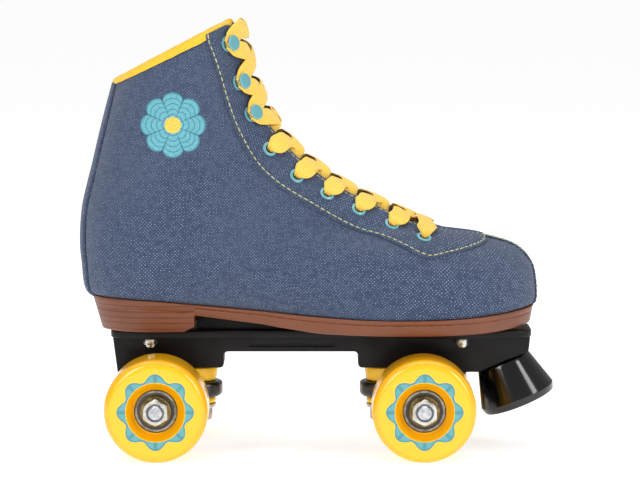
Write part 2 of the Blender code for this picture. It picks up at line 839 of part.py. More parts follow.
# ---- Plate, bolts and toe stop ---------------------------------------------------------------


def stop_axis():
    """Where the toe stop meets the plate, and the way its axis points down."""
    down = Vector((math.sin(STOP_TILT), 0, -math.cos(STOP_TILT)))
    return Vector((STOP_X, 0, PLATE_TOP - STOP_DROP)), down


def pivot_of(axle_x, outwards):
    """The middle of a truck's ring, its pivot, and the unit vector between them."""
    ring_z = PLATE_TOP - BOSS_DEPTH - 2 * GAP - UPPER_CUSHION_HEIGHT - RING_HEIGHT / 2
    middle = Vector((axle_x - outwards * KINGPIN_INSET, 0, ring_z))
    pivot = Vector((axle_x + outwards * PIVOT_OUTSET, 0, AXLE_Z + PIVOT_RISE))
    return middle, pivot, (pivot - middle).normalized()


def baseplate():
    rear_kingpin = REAR_AXLE_X + KINGPIN_INSET
    front_axle = REAR_AXLE_X + WHEELBASE
    front_kingpin = front_axle - KINGPIN_INSET
    rear_lug = REAR_AXLE_X - PIVOT_OUTSET - LUG_BEYOND_PIVOT
    front_lug = front_axle + PIVOT_OUTSET + LUG_BEYOND_PIVOT
    boss = RING_RADIUS + BOSS_MARGIN
    vault = WEB_DEPTH + VAULT_RISE
    core_top = -PLATE_THICKNESS / 4
    seat, down = stop_axis()
    along = Vector((math.cos(STOP_TILT), 0, math.sin(STOP_TILT)))
    face = seat - down * GAP - Vector((0, 0, PLATE_TOP))
    stop_rear = face - along * (STOP_TOP_RADIUS + STOP_SEAT_MARGIN)
    stop_front = face + along * STOP_TOP_RADIUS
    side_view = (
        (PLATE_REAR_X + CORE_INSET, core_top),
        (rear_lug, -LUG_DEPTH),
        (rear_lug + LUG_LENGTH, -LUG_DEPTH),
        (rear_lug + LUG_LENGTH, -vault),
        (rear_kingpin - boss, -vault),
        (rear_kingpin - boss, -BOSS_DEPTH),
        (rear_kingpin + boss, -BOSS_DEPTH),
        (rear_kingpin + boss, -WEB_DEPTH),
        (front_kingpin - boss, -WEB_DEPTH),
        (front_kingpin - boss, -BOSS_DEPTH),
        (front_kingpin + boss, -BOSS_DEPTH),
        (front_kingpin + boss, -vault),
        (front_lug - LUG_LENGTH, -vault),
        (front_lug - LUG_LENGTH, -LUG_DEPTH),
        (front_lug, -LUG_DEPTH),
        (front_lug + BOSS_MARGIN, stop_rear.z),
        (stop_rear.x, stop_rear.z),
        (stop_front.x, stop_front.z),
        (PLATE_FRONT_X - CORE_INSET, core_top),
    )
    core_shape = prism(side_view, -CORE_HALF_WIDTH, CORE_HALF_WIDTH)
    lie_down = Matrix.Translation((0, 0, PLATE_TOP)) @ Matrix.Rotation(math.pi / 2, 4, "X")
    core = tool("plate_core", core_shape, lie_down)
    waist_start = rear_kingpin + WAIST_START
    waist_end = front_kingpin - WAIST_START
    rear_share, front_share = PLATE_END_SHARE
    plan = [
        (PLATE_REAR_X, -PLATE_HALF_WIDTH * rear_share),
        (REAR_BOLT_X, -PLATE_HALF_WIDTH),
        (waist_start, -PLATE_WAIST_HALF_WIDTH),
        (waist_end, -PLATE_WAIST_HALF_WIDTH),
        (FRONT_BOLT_X, -PLATE_HALF_WIDTH),
        (PLATE_FRONT_X, -PLATE_HALF_WIDTH * front_share),
    ]
    plan += [(x, -y) for x, y in plan[::-1]]
    flange = prism(rounded(plan, PLATE_ROUND), PLATE_TOP - PLATE_THICKNESS, PLATE_TOP)
    plate = add_mesh("baseplate", flange, black_nylon)
    combine(plate, core, "UNION")
    for _, x, y in bolt_places():
        bore(plate, BOLT_RADIUS + GAP, UP, (x, y, PLATE_TOP - THROUGH / 2), THROUGH, BOLT_STEPS)
    for axle_x, outwards in ((REAR_AXLE_X, -1), (front_axle, 1)):
        _, pivot, way = pivot_of(axle_x, outwards)
        kingpin = (axle_x - outwards * KINGPIN_INSET, 0, PLATE_TOP - BOSS_DEPTH - BORE_LEAD)
        bore(plate, KINGPIN_RADIUS + GAP, UP, kingpin, KINGPIN_ROOT + BORE_LEAD + GAP)
        cup_radius = PIVOT_PIN_RADIUS + GAP + CUP_WALL + GAP
        mouth = pivot - way * (PIVOT_PIN_LENGTH / 2 + CUP_LEAD)
        depth = PIVOT_PIN_LENGTH + CUP_FLOOR + 2 * GAP + CUP_LEAD
        bore(plate, cup_radius, way, mouth, depth)
    thread = STOP_THREAD + BORE_LEAD + GAP
    bore(plate, STOP_BOLT_RADIUS + GAP, -down, seat + down * BORE_LEAD, thread)
    return plate


def mounting_bolts():
    for name, x, y in bolt_places():
        nut_top = PLATE_TOP - PLATE_THICKNESS - GAP
        bottom = nut_top - BOLT_NUT_HEIGHT - BOLT_END
        head = board_top(x) + GAP
        profile = (
            (0, head + BOLT_HEAD_HEIGHT),
            (BOLT_HEAD_RADIUS * BOLT_HEAD_CROWN, head + BOLT_HEAD_HEIGHT),
            (BOLT_HEAD_RADIUS, head + BOLT_HEAD_RIM),
            (BOLT_HEAD_RADIUS, head),
            (BOLT_RADIUS, head),
            (BOLT_RADIUS, bottom + BOLT_CHAMFER),
            (BOLT_RADIUS - BOLT_CHAMFER, bottom),
            (0, bottom),
        )
        bolt = add_mesh(f"mounting_bolt_{name}", turned(profile, BOLT_STEPS), zinc)
        put(bolt, Matrix.Translation((x, y, 0)))
        nut = add_mesh(f"mounting_nut_{name}", cylinder(BOLT_NUT_RADIUS, BOLT_NUT_HEIGHT, 6), zinc)
        put(nut, Matrix.Translation((x, y, nut_top - BOLT_NUT_HEIGHT)))
        bore(nut, BOLT_RADIUS + GAP, UP, (x, y, nut_top - THROUGH / 2), THROUGH, BOLT_STEPS)


def toe_stop():
    seat, down = stop_axis()
    place = frame_along(down, seat)
    shank = STOP_BOLT_RADIUS + GAP
    well = STOP_BOLT_HEAD_RADIUS + STOP_WELL_MARGIN
    floor = STOP_HEIGHT - STOP_WELL_DEPTH
    profile = (
        (well, STOP_HEIGHT + STOP_DOME),
        (STOP_FOOT_RADIUS * 0.75, STOP_HEIGHT + STOP_DOME * 0.6),
        (STOP_FOOT_RADIUS - STOP_ROUND * 0.7, STOP_HEIGHT - STOP_ROUND * 0.25),
        (STOP_FOOT_RADIUS, STOP_HEIGHT - STOP_ROUND),
        (STOP_TOP_RADIUS, 0),
        (shank, 0),
        (shank, floor),
        (well, floor),
    )
    stop = add_mesh("toe_stop", turned(profile, 30), black_rubber)
    put(stop, place)
    washer_low = floor + GAP
    washer_high = washer_low + STOP_WASHER_HEIGHT
    ring_profile = (
        (STOP_BOLT_HEAD_RADIUS + STOP_WASHER_RIM, washer_high),
        (STOP_BOLT_HEAD_RADIUS + STOP_WASHER_RIM, washer_low),
        (shank, washer_low),
        (shank, washer_high),
    )
    put(add_mesh("toe_stop_washer", turned(ring_profile, 18), zinc), place)
    head_low = washer_high + GAP
    head_high = head_low + STOP_BOLT_HEAD_HEIGHT
    bolt_profile = (
        (0, head_high - STOP_SOCKET_DEPTH),
        (STOP_SOCKET_RADIUS, head_high - STOP_SOCKET_DEPTH),
        (STOP_SOCKET_RADIUS, head_high),
        (STOP_BOLT_HEAD_RADIUS, head_high),
        (STOP_BOLT_HEAD_RADIUS, head_low),
        (STOP_BOLT_RADIUS, head_low),
        (STOP_BOLT_RADIUS, -STOP_THREAD),
        (0, -STOP_THREAD),
    )
    put(add_mesh("toe_stop_bolt", turned(bolt_profile, 18), zinc), place)


# ---- Trucks and wheels -----------------------------------------------------------------------


def kingpin_stack(end, x):
    """What hangs on a kingpin, from the plate's boss down, and returns the ring's underside."""
    boss = PLATE_TOP - BOSS_DEPTH
    hole = KINGPIN_RADIUS + GAP

    def ring_piece(name, outer_top, outer_bottom, top, height, finish, swell=0.0):
        middle = (outer_top + outer_bottom) / 2 + swell
        profile = (
            (outer_top, top),
            (middle, top - height / 2),
            (outer_bottom, top - height),
            (hole, top - height),
            (hole, top),
        )
        piece = add_mesh(f"{name}_{end}", turned(profile, SMALL_STEPS), finish)
        return put(piece, Matrix.Translation((x, 0, 0)))

    top = boss - GAP
    ring_piece(
        "upper_cushion", UPPER_CUSHION_RADIUS, UPPER_CUSHION_RADIUS - UPPER_CUSHION_DRAFT,
        top, UPPER_CUSHION_HEIGHT, yellow_rubber, UPPER_CUSHION_SWELL,
    )
    top -= UPPER_CUSHION_HEIGHT + GAP + RING_HEIGHT + GAP
    ring_piece(
        "lower_cushion", LOWER_CUSHION_RADIUS, LOWER_CUSHION_RADIUS,
        top, LOWER_CUSHION_HEIGHT, yellow_rubber, LOWER_CUSHION_SWELL,
    )
    top -= LOWER_CUSHION_HEIGHT + GAP
    ring_piece(
        "cushion_washer", LOWER_CUSHION_RADIUS + CUSHION_WASHER_RIM,
        LOWER_CUSHION_RADIUS - CUSHION_WASHER_FOOT,
        top, CUSHION_WASHER_HEIGHT, zinc,
    )
    top -= CUSHION_WASHER_HEIGHT + GAP
    nut = add_mesh(
        f"kingpin_nut_{end}", cylinder(KINGPIN_NUT_RADIUS, KINGPIN_NUT_HEIGHT, 6), zinc
    )
    put(nut, Matrix.Translation((x, 0, top - KINGPIN_NUT_HEIGHT)))
    bore(nut, hole, UP, (x, 0, top - THROUGH / 2), THROUGH)
    low = top - KINGPIN_NUT_HEIGHT - KINGPIN_END
    high = boss + KINGPIN_ROOT
    pin_profile = (
        (0, high),
        (KINGPIN_RADIUS, high),
        (KINGPIN_RADIUS, low + KINGPIN_CHAMFER),
        (KINGPIN_RADIUS - KINGPIN_CHAMFER, low),
        (0, low),
    )
    pin = add_mesh(f"kingpin_{end}", turned(pin_profile, SMALL_STEPS), zinc)
    put(pin, Matrix.Translation((x, 0, 0)))


def truck(end, axle_x, outwards):
    """A truck: a beam round the axle, a ring on the kingpin and an arm into the pivot cup."""
    middle, pivot, way = pivot_of(axle_x, outwards)
    body = held(f"truck_{end}", frame_along(way, middle))
    half = WHEEL_TRACK / 2 - WHEEL_WIDTH / 2 - BEAM_SHORT
    nose = WHEEL_TRACK / 2 - WHEEL_WIDTH / 2 + RECESS_DEPTH - GAP
    beam_profile = (
        (0, nose),
        (BEAM_NOSE_RADIUS, nose),
        (BEAM_NOSE_RADIUS, half),
        (BEAM_RADIUS, half - BEAM_SHOULDER),
        (BEAM_RADIUS, BEAM_SHOULDER - half),
        (BEAM_NOSE_RADIUS, -half),
        (BEAM_NOSE_RADIUS, -nose),
        (0, -nose),
    )
    axle_place = frame_along((0, 1, 0), (axle_x, 0, AXLE_Z))
    hanger = add_mesh(f"truck_hanger_{end}", turned(beam_profile, SMALL_STEPS), black_metal)
    put(hanger, axle_place, body)
    # The arm narrows to the pin that turns in the cup.
    reach = (pivot - middle).length
    shoulder = reach - PIVOT_PIN_LENGTH / 2
    arm_profile = (
        (0, reach + PIVOT_PIN_LENGTH / 2),
        (PIVOT_PIN_RADIUS - PIVOT_PIN_CHAMFER, reach + PIVOT_PIN_LENGTH / 2),
        (PIVOT_PIN_RADIUS, reach + PIVOT_PIN_LENGTH / 2 - PIVOT_PIN_CHAMFER),
        (PIVOT_PIN_RADIUS, shoulder - PIVOT_NECK),
        (ARM_RADIUS, shoulder - PIVOT_NECK - PIVOT_CONE),
        (ARM_RADIUS, RING_RADIUS + ARM_START),
        (0, RING_RADIUS + ARM_START),
    )
    arm = tool(f"arm_{end}", turned(arm_profile, SMALL_STEPS), frame_along(way, middle))
    combine(hanger, arm, "UNION")
    ring_profile = (
        (0, RING_HEIGHT / 2),
        (RING_RADIUS - RING_EDGE, RING_HEIGHT / 2),
        (RING_RADIUS, RING_HEIGHT / 2 - RING_EDGE),
        (RING_RADIUS - RING_DRAFT, -RING_HEIGHT / 2 + RING_EDGE),
        (RING_RADIUS - RING_DRAFT - RING_EDGE, -RING_HEIGHT / 2),
        (0, -RING_HEIGHT / 2),
    )
    ring_solid = tool(f"ring_{end}", turned(ring_profile, SMALL_STEPS), Matrix.Translation(middle))
    combine(hanger, ring_solid, "UNION")
    # A web ties the beam, the ring and the arm together, however far apart they lie.
    ring_side = middle.x + outwards * (KINGPIN_RADIUS + RING_PLAY + RING_RADIUS) / 2
    arm_end = middle + way * (shoulder - PIVOT_PIN_LENGTH / 2)
    side_view = (
        (ring_side, middle.z + RING_HEIGHT / 2 - RING_EDGE),
        (ring_side, middle.z - RING_HEIGHT / 2 + RING_EDGE),
        (axle_x, AXLE_Z),
        (arm_end.x, arm_end.z),
    )
    web = prism(side_view, -TRUCK_WEB_HALF_WIDTH, TRUCK_WEB_HALF_WIDTH)
    combine(hanger, tool(f"web_{end}", web, Matrix.Rotation(math.pi / 2, 4, "X")), "UNION")
    below = middle - UP * THROUGH / 2
    bore(hanger, KINGPIN_RADIUS + RING_PLAY, UP, below, THROUGH)
    bore(hanger, AXLE_RADIUS + GAP, (0, 1, 0), (axle_x, -THROUGH, AXLE_Z), 2 * THROUGH)
    pivot_cup(end, pivot, way)
    axle_reach = WHEEL_TRACK / 2 + WHEEL_WIDTH / 2 - RECESS_DEPTH + GAP + AXLE_NUT_HEIGHT + AXLE_END
    axle_profile = (
        (0, axle_reach),
        (AXLE_RADIUS - AXLE_CHAMFER, axle_reach),
        (AXLE_RADIUS, axle_reach - AXLE_CHAMFER),
        (AXLE_RADIUS, AXLE_CHAMFER - axle_reach),
        (AXLE_RADIUS - AXLE_CHAMFER, -axle_reach),
        (0, -axle_reach),
    )
    put(add_mesh(f"axle_{end}", turned(axle_profile, SMALL_STEPS), steel), axle_place, body)
    for side, sign in (("outer", -1), ("inner", 1)):
        wheel_set(f"{end}_{side}", axle_x, sign, body)


def pivot_cup(end, pivot, way):
    """The cup that the truck's pin turns in, pressed into a lug of the plate."""
    inner = PIVOT_PIN_RADIUS + GAP
    outer = inner + CUP_WALL
    start = -PIVOT_PIN_LENGTH / 2
    floor = PIVOT_PIN_LENGTH / 2 + GAP
    profile = (
        (0, floor + CUP_FLOOR),
        (outer, floor + CUP_FLOOR),
        (outer, start),
        (inner, start),
        (inner, floor),
        (0, floor),
    )
    cup = add_mesh(f"pivot_cup_{end}", turned(profile, SMALL_STEPS), black_rubber)
    put(cup, frame_along(way, pivot))


def wheel_set(name, axle_x, sign, truck_body):
    """A wheel with its two bearings, and the nut that holds it; all turn about the axle but that."""
    middle = Vector((axle_x, sign * WHEEL_TRACK / 2, AXLE_Z))
    # Half a step round, so that a flat of the tread lies on the ground.
    settle = Matrix.Rotation(math.pi / WHEEL_STEPS, 4, "Z")
    place = frame_along((0, sign, 0), middle) @ settle
    spin = held(f"spin_{name}", place)
    spin.parent = truck_body
    spin.matrix_parent_inverse = truck_body.matrix_world.inverted()
    bpy.context.view_layer.update()
    half = WHEEL_WIDTH / 2
    seat = half - RECESS_DEPTH
    inside = seat - BEARING_WIDTH - GAP
    bearing_seat = BEARING_RADIUS + GAP
    lip = WHEEL_LIP
    side = (
        (bearing_seat, inside),
        (bearing_seat, seat),
        (RECESS_RADIUS, half),
        (WHEEL_RADIUS - lip, half),
        (WHEEL_RADIUS, half - lip),
    )
    profile = list(side) + [(r, -z) for r, z in side[::-1]]
    profile += [(HUB_WEB_RADIUS, -inside), (HUB_WEB_RADIUS, inside)]
    put(add_mesh(f"wheel_{name}", turned(profile, WHEEL_STEPS), wheel_yellow), place, spin)
    ring_profile = (
        (BEARING_RADIUS, BEARING_WIDTH),
        (BEARING_RADIUS, 0),
        (AXLE_RADIUS + GAP, 0),
        (AXLE_RADIUS + GAP, BEARING_WIDTH),
    )
    for label, start in (("near", seat - BEARING_WIDTH), ("far", -seat)):
        bearing = add_mesh(f"bearing_{name}_{label}", turned(ring_profile, BEARING_STEPS), steel)
        put(bearing, place @ Matrix.Translation((0, 0, start)), spin)
    nut = add_mesh(f"axle_nut_{name}", cylinder(AXLE_NUT_RADIUS, AXLE_NUT_HEIGHT, 6), zinc)
    nut_place = frame_along((0, sign, 0), middle) @ Matrix.Translation((0, 0, seat + GAP))
    put(nut, nut_place, truck_body)
    start = Vector((axle_x, sign * (WHEEL_TRACK / 2 + seat - BEARING_WIDTH), AXLE_Z))
    bore(nut, AXLE_RADIUS + GAP, (0, sign, 0), start, THROUGH)


def main():
    boot_upper()
    tongue()
    facing(-1, "facing_outer")
    facing(1, "facing_inner")
    collar_binding()
    lace()
    for side, sign in (("outer", -1), ("inner", 1)):
        for i, (x, z) in enumerate(HOOKS):
            lace_hook(f"lace_hook_{side}_{i + 1}", x, z, sign)
    sole_parts()
    baseplate()
    mounting_bolts()
    toe_stop()
    front_axle = REAR_AXLE_X + WHEELBASE
    for end, axle_x, outwards in (("rear", REAR_AXLE_X, -1), ("front", front_axle, 1)):
        kingpin_stack(end, axle_x - outwards * KINGPIN_INSET)
        truck(end, axle_x, outwards)


clear_scene()
parts = collection("quad_roller_skate")
cutters = collection("cutters")
denim = material("denim", (0.12, 0.16, 0.25), 0.9)
yellow_tape = material("yellow_tape", (0.93, 0.62, 0.07), 0.7)
yellow_rubber = material("yellow_rubber", (0.9, 0.58, 0.05), 0.45)
wheel_yellow = material("wheel_yellow", (0.95, 0.66, 0.02), 0.25)
teal = material("teal_paint", (0.11, 0.38, 0.4), 0.35)
sole_brown = material("sole_brown", (0.25, 0.1, 0.05), 0.5)
board_tan = material("board_tan", (0.45, 0.33, 0.2), 0.85)
lining_blue = material("lining_blue", (0.05, 0.07, 0.12), 0.9)
black_nylon = material("black_nylon", (0.015, 0.014, 0.014), 0.5)
black_rubber = material("black_rubber", (0.012, 0.012, 0.013), 0.3)
black_metal = material("black_metal", (0.02, 0.02, 0.02), 0.45, 0.6)
zinc = material("zinc", (0.72, 0.7, 0.6), 0.3, 1.0)
steel = material("steel", (0.6, 0.6, 0.6), 0.3, 1.0)
main()
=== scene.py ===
# %% [markdown]
# # A quad roller skate
#
# A high lace-up canvas boot is bolted to a nylon plate. Two sprung trucks hang under the plate,
# each with a pair of soft wheels, and a rubber stop stands under the toe. Every piece here is
# made around a packed mechanical model, so each one takes its place from that model.
# Lengths are in metres: +X runs to the toe, +Z up, and the skate's outer side faces -Y.

import math

import bmesh
import bpy
import numpy as np
from mathutils import Matrix, Vector, noise


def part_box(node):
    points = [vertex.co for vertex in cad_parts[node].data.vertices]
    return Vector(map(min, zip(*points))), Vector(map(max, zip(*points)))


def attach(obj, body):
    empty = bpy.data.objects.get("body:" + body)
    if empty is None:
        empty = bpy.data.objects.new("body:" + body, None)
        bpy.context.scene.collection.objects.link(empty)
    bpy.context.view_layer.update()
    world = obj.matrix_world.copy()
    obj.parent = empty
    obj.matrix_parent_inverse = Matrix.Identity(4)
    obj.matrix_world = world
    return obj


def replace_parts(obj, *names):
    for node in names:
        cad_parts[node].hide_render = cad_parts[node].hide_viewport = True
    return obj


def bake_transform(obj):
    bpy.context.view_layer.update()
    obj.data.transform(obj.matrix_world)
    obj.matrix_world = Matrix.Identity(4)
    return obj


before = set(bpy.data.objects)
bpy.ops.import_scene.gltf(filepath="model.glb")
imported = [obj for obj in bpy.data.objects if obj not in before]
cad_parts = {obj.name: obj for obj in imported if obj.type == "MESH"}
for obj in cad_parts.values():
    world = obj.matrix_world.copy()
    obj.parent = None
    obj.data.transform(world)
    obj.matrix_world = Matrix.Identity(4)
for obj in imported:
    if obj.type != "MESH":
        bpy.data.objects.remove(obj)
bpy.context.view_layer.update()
MM = 0.001
UP = Vector((0, 0, 1))
scene = bpy.context.scene


# %% Where things are
def middle_of(node):
    low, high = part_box(node)
    return (low + high) / 2


ENDS = ("rear", "front")
SIDES = {"outer": -1, "inner": 1}
PLATE_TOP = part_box("baseplate")[1].z
AXLES = {end: middle_of(f"axle_{end}") for end in ENDS}
KINGPINS = {end: middle_of(f"kingpin_{end}") for end in ENDS}
print("plate top", round(PLATE_TOP / MM, 1), "mm, axles at x", [round(a.x / MM, 1) for a in AXLES.values()])

# %% [markdown]
# ## Camera, floor and light
#
# A long lens from a metre and a half away keeps the wheels round and the plate level. The camera
# looks straight across the skate and tips down a little. The floor and the world are pale, and
# three large soft lights shape the boot: one high on each side and a broad one overhead.

# %% The studio
CAMERA_DISTANCE = 1.5
CAMERA_HEIGHT = 0.262
CAMERA_TIP = math.radians(5.78)
LENS_LENGTH = 159.0
AIR_STRENGTH = 0.42

lens = bpy.data.cameras.new("studio camera")
lens.sensor_width = 36.0
lens.lens = LENS_LENGTH
camera = bpy.data.objects.new("studio camera", lens)
camera.location = (0, -CAMERA_DISTANCE, CAMERA_HEIGHT)
camera.rotation_euler = (math.pi / 2 - CAMERA_TIP, 0, 0)
scene.collection.objects.link(camera)
scene.camera = camera
scene.view_settings.view_transform = "Standard"

world = bpy.data.worlds.new("studio air")
world.use_nodes = True
world.node_tree.nodes["Background"].inputs["Color"].default_value = (1.0, 1.0, 1.0, 1)
world.node_tree.nodes["Background"].inputs["Strength"].default_value = AIR_STRENGTH
scene.world = world


def soft_light(name, place, aim, size, power):
    data = bpy.data.lights.new(name, "AREA")
    data.shape = "RECTANGLE"
    data.size, data.size_y = size
    data.energy = power
    light = bpy.data.objects.new(name, data)
    light.location = place
    light.rotation_mode = "QUATERNION"
    light.rotation_quaternion = (Vector(place) - Vector(aim)).to_track_quat("Z", "Y")
    scene.collection.objects.link(light)
    return light


soft_light("left window", (-0.9, -1.2, 0.9), (0, 0, 0.12), (0.5, 0.9), 10)
soft_light("right window", (1.1, -0.9, 0.7), (0, 0, 0.08), (0.35, 0.9), 8)
soft_light("overhead", (0.0, 0.1, 1.4), (0, 0, 0.1), (1.4, 1.0), 9)

# %% [markdown]
# ## Building blocks
#
# Nearly every piece here is one of three shapes: a surface through rows of points, a profile
# turned about an axis, or a strip along a path. Each has one helper, so that the pieces
# themselves are short. Points carry a flat coordinate in metres, which the cloth patterns use.


# %% Objects and surfaces
def add_piece(name, mesh, *finishes):
    piece = bpy.data.objects.new(name, mesh)
    scene.collection.objects.link(piece)
    if mesh.materials:  # clearing an empty list would still reset each face's finish
        mesh.materials.clear()
    for finish in finishes:
        mesh.materials.append(finish)
    return piece


def tidy_mesh(mesh, angle=40, merge=0.00001, outward=True):
    """Merges doubles, turns the faces outwards and smooths all but the sharp edges."""
    bm = bmesh.new()
    bm.from_mesh(mesh)
    bmesh.ops.remove_doubles(bm, verts=bm.verts, dist=merge)
    bmesh.ops.dissolve_degenerate(bm, edges=bm.edges, dist=merge / 10)
    if outward:
        bmesh.ops.recalc_face_normals(bm, faces=bm.faces)
    bm.to_mesh(mesh)
    bm.free()
    mesh.shade_smooth()
    mesh.set_sharp_from_angle(angle=math.radians(angle))
    return mesh


def surface(rows, flat=None, loop=False, ends=False):
    """A mesh through rows of points, round and closed if they are loops, with a UV map if
    flat coordinates are given for the points."""
    across = len(rows[0])
    points = [point for row in rows for point in row]
    faces = []
    span = across if loop else across - 1
    for r in range(len(rows) - 1):
        for c in range(span):
            near, far = r * across, (r + 1) * across
            faces.append((near + c, near + (c + 1) % across, far + (c + 1) % across, far + c))
    if ends:
        faces.append(tuple(range(across))[::-1])
        faces.append(tuple((len(rows) - 1) * across + c for c in range(across)))
    mesh = bpy.data.meshes.new("surface")
    mesh.from_pydata([tuple(p) for p in points], [], faces)
    if flat is not None:
        layer = mesh.uv_layers.new(name="cloth")
        values = [tuple(uv) for row in flat for uv in row]
        for loop_data in mesh.loops:
            layer.data[loop_data.index].uv = values[loop_data.vertex_index]
    return mesh


def softened(profile, radius, steps=4):
    """An open or closed profile with its corners rounded."""
    closed = profile[0] == profile[-1]
    corners = [Vector(p) for p in (profile[:-1] if closed else profile)]
    count = len(corners)
    result = []
    for i, corner in enumerate(corners):
        if not closed and i in (0, count - 1):
            result.append(corner)
            continue
        before, after = corners[i - 1] - corner, corners[(i + 1) % count] - corner
        if before.length < 1e-9 or after.length < 1e-9:
            continue
        opening = max(0.05, before.angle(after) / 2)
        reach = min(radius / math.tan(opening) if opening < 1.5 else 0, before.length * 0.45, after.length * 0.45)
        if reach < 1e-6:
            result.append(corner)
            continue
        start, end = corner + before.normalized() * reach, corner + after.normalized() * reach
        for k in range(steps + 1):
            t = k / steps
            result.append(start * (1 - t) ** 2 + corner * 2 * t * (1 - t) + end * t * t)
    if closed:
        result.append(result[0])
    return [(p[0], p[1]) for p in result]


def turned(profile, steps=48, angle=35):
    """A profile of radius and height turned about the Z axis. A profile that doesn't start on
    the axis is a closed loop."""
    rows = []
    for k in range(steps):
        turn = 2 * math.pi * k / steps
        rows.append([(r * math.cos(turn), r * math.sin(turn), z) for r, z in profile])
    rows.append(rows[0])
    return tidy_mesh(surface(rows), angle)


def aimed(axis, origin=(0, 0, 0), forward=None):
    """A placement whose Z axis points along the axis, turned so that X lies near forward."""
    z = Vector(axis).normalized()
    x = Vector(forward) if forward else Vector((1, 0, 0))
    if abs(z.dot(x.normalized())) > 0.95:
        x = UP
    y = z.cross(x).normalized()
    x = y.cross(z)
    turn = Matrix((x, y, z)).transposed().to_4x4()
    return Matrix.Translation(Vector(origin)) @ turn


def placed(mesh, place):
    mesh.transform(place)
    if place.determinant() < 0:
        mesh.flip_normals()
    return mesh


def joined(meshes):
    """One mesh of several, each keeping its materials' order."""
    bm = bmesh.new()
    for mesh in meshes:
        bm.from_mesh(mesh)
    result = bpy.data.meshes.new("joined")
    bm.to_mesh(result)
    bm.free()
    return result


def evaluated(piece):
    """The mesh of a piece with its modifiers applied."""
    graph = bpy.context.evaluated_depsgraph_get()
    graph.update()
    return bpy.data.meshes.new_from_object(piece.evaluated_get(graph))


def apply_modifiers(piece):
    mesh = evaluated(piece)
    piece.modifiers.clear()
    piece.data = mesh
    return piece


def thicken(piece, thickness, inside=0):
    """Gives a sheet a thickness on its inner side, where it may have the next finish."""
    wall = piece.modifiers.new("wall", "SOLIDIFY")
    wall.thickness = thickness
    wall.offset = -1
    wall.material_offset = wall.material_offset_rim = inside
    return apply_modifiers(piece)


def subdivide(piece):
    step = piece.modifiers.new("smooth", "SUBSURF")
    step.levels = step.render_levels = 1
    return apply_modifiers(piece)


def repaint(piece, finish):
    piece.data.materials.clear()
    piece.data.materials.append(finish)


def colour(red, green, blue):
    """A colour from its usual 0 to 255 values, as light adds up."""
    levels = []
    for value in (red, green, blue):
        v = value / 255
        levels.append(v / 12.92 if v <= 0.04045 else ((v + 0.055) / 1.055) ** 2.4)
    return (*levels, 1.0)


# %% [markdown]
# ## Node helpers
#
# Materials and repeated details are node trees. One helper adds a node, sets its properties and
# links or sets its inputs, so a tree reads as a list of steps.


# %% Adding nodes
def add(tree, kind, inputs=None, **settings):
    made = tree.nodes.new(kind)
    for name, value in settings.items():
        setattr(made, name, value)
    for key, value in (inputs or {}).items():
        socket = made.inputs[key]
        if isinstance(value, bpy.types.NodeSocket):
            tree.links.new(value, socket)
        else:
            socket.default_value = value
    return made


def maths(tree, operation, first, second=0.0):
    return add(tree, "ShaderNodeMath", {0: first, 1: second}, operation=operation).outputs[0]


def times(tree, first, second):
    return maths(tree, "MULTIPLY", first, second)


def blend_colour(tree, share, under, over):
    return add(tree, "ShaderNodeMix", {0: share, 6: under, 7: over}, data_type="RGBA").outputs[2]


def ramp(tree, value, low, high, to_low=0.0, to_high=1.0):
    return add(
        tree, "ShaderNodeMapRange",
        {"Value": value, "From Min": low, "From Max": high, "To Min": to_low, "To Max": to_high},
        interpolation_type="SMOOTHSTEP",
    ).outputs[0]


def clouds(tree, place, scale, detail):
    """Soft noise from 0 to 1 at a place."""
    return add(tree, "ShaderNodeTexNoise", {"Vector": place, "Scale": scale, "Detail": detail}).outputs["Fac"]


def local_place(tree):
    return add(tree, "ShaderNodeTexCoord").outputs["Object"]


def flat_parts(tree):
    """The two numbers of the flat coordinate."""
    flat = add(tree, "ShaderNodeUVMap", uv_map="cloth").outputs[0]
    return add(tree, "ShaderNodeSeparateXYZ", {0: flat}).outputs[:2]


def paint(tree, shader, shown):
    tree.links.new(shown, shader.inputs["Base Color"])


def shader_group(name, inputs, outputs):
    """A node group with named inputs and outputs, and its two ends."""
    group = bpy.data.node_groups.new(name, "ShaderNodeTree")
    for label, kind, value in inputs:
        socket = group.interface.new_socket(label, in_out="INPUT", socket_type=kind)
        if value is not None:
            socket.default_value = value
    for label, kind in outputs:
        group.interface.new_socket(label, in_out="OUTPUT", socket_type=kind)
    return group, add(group, "NodeGroupInput"), add(group, "NodeGroupOutput")


NUMBER, VECTOR = "NodeSocketFloat", "NodeSocketVector"

# %% [markdown]
# ## Shared surface effects
#
# Four effects return on many pieces. Canvas is a plain weave: the yarns that lie on top swap at
# each crossing, like a chessboard. Moulded and cast surfaces have a fine grain. Handled edges
# wear brighter, and dust settles on what faces up. Each is a group that gives masks and heights.


# %% Woven canvas
SLUB = 0.12


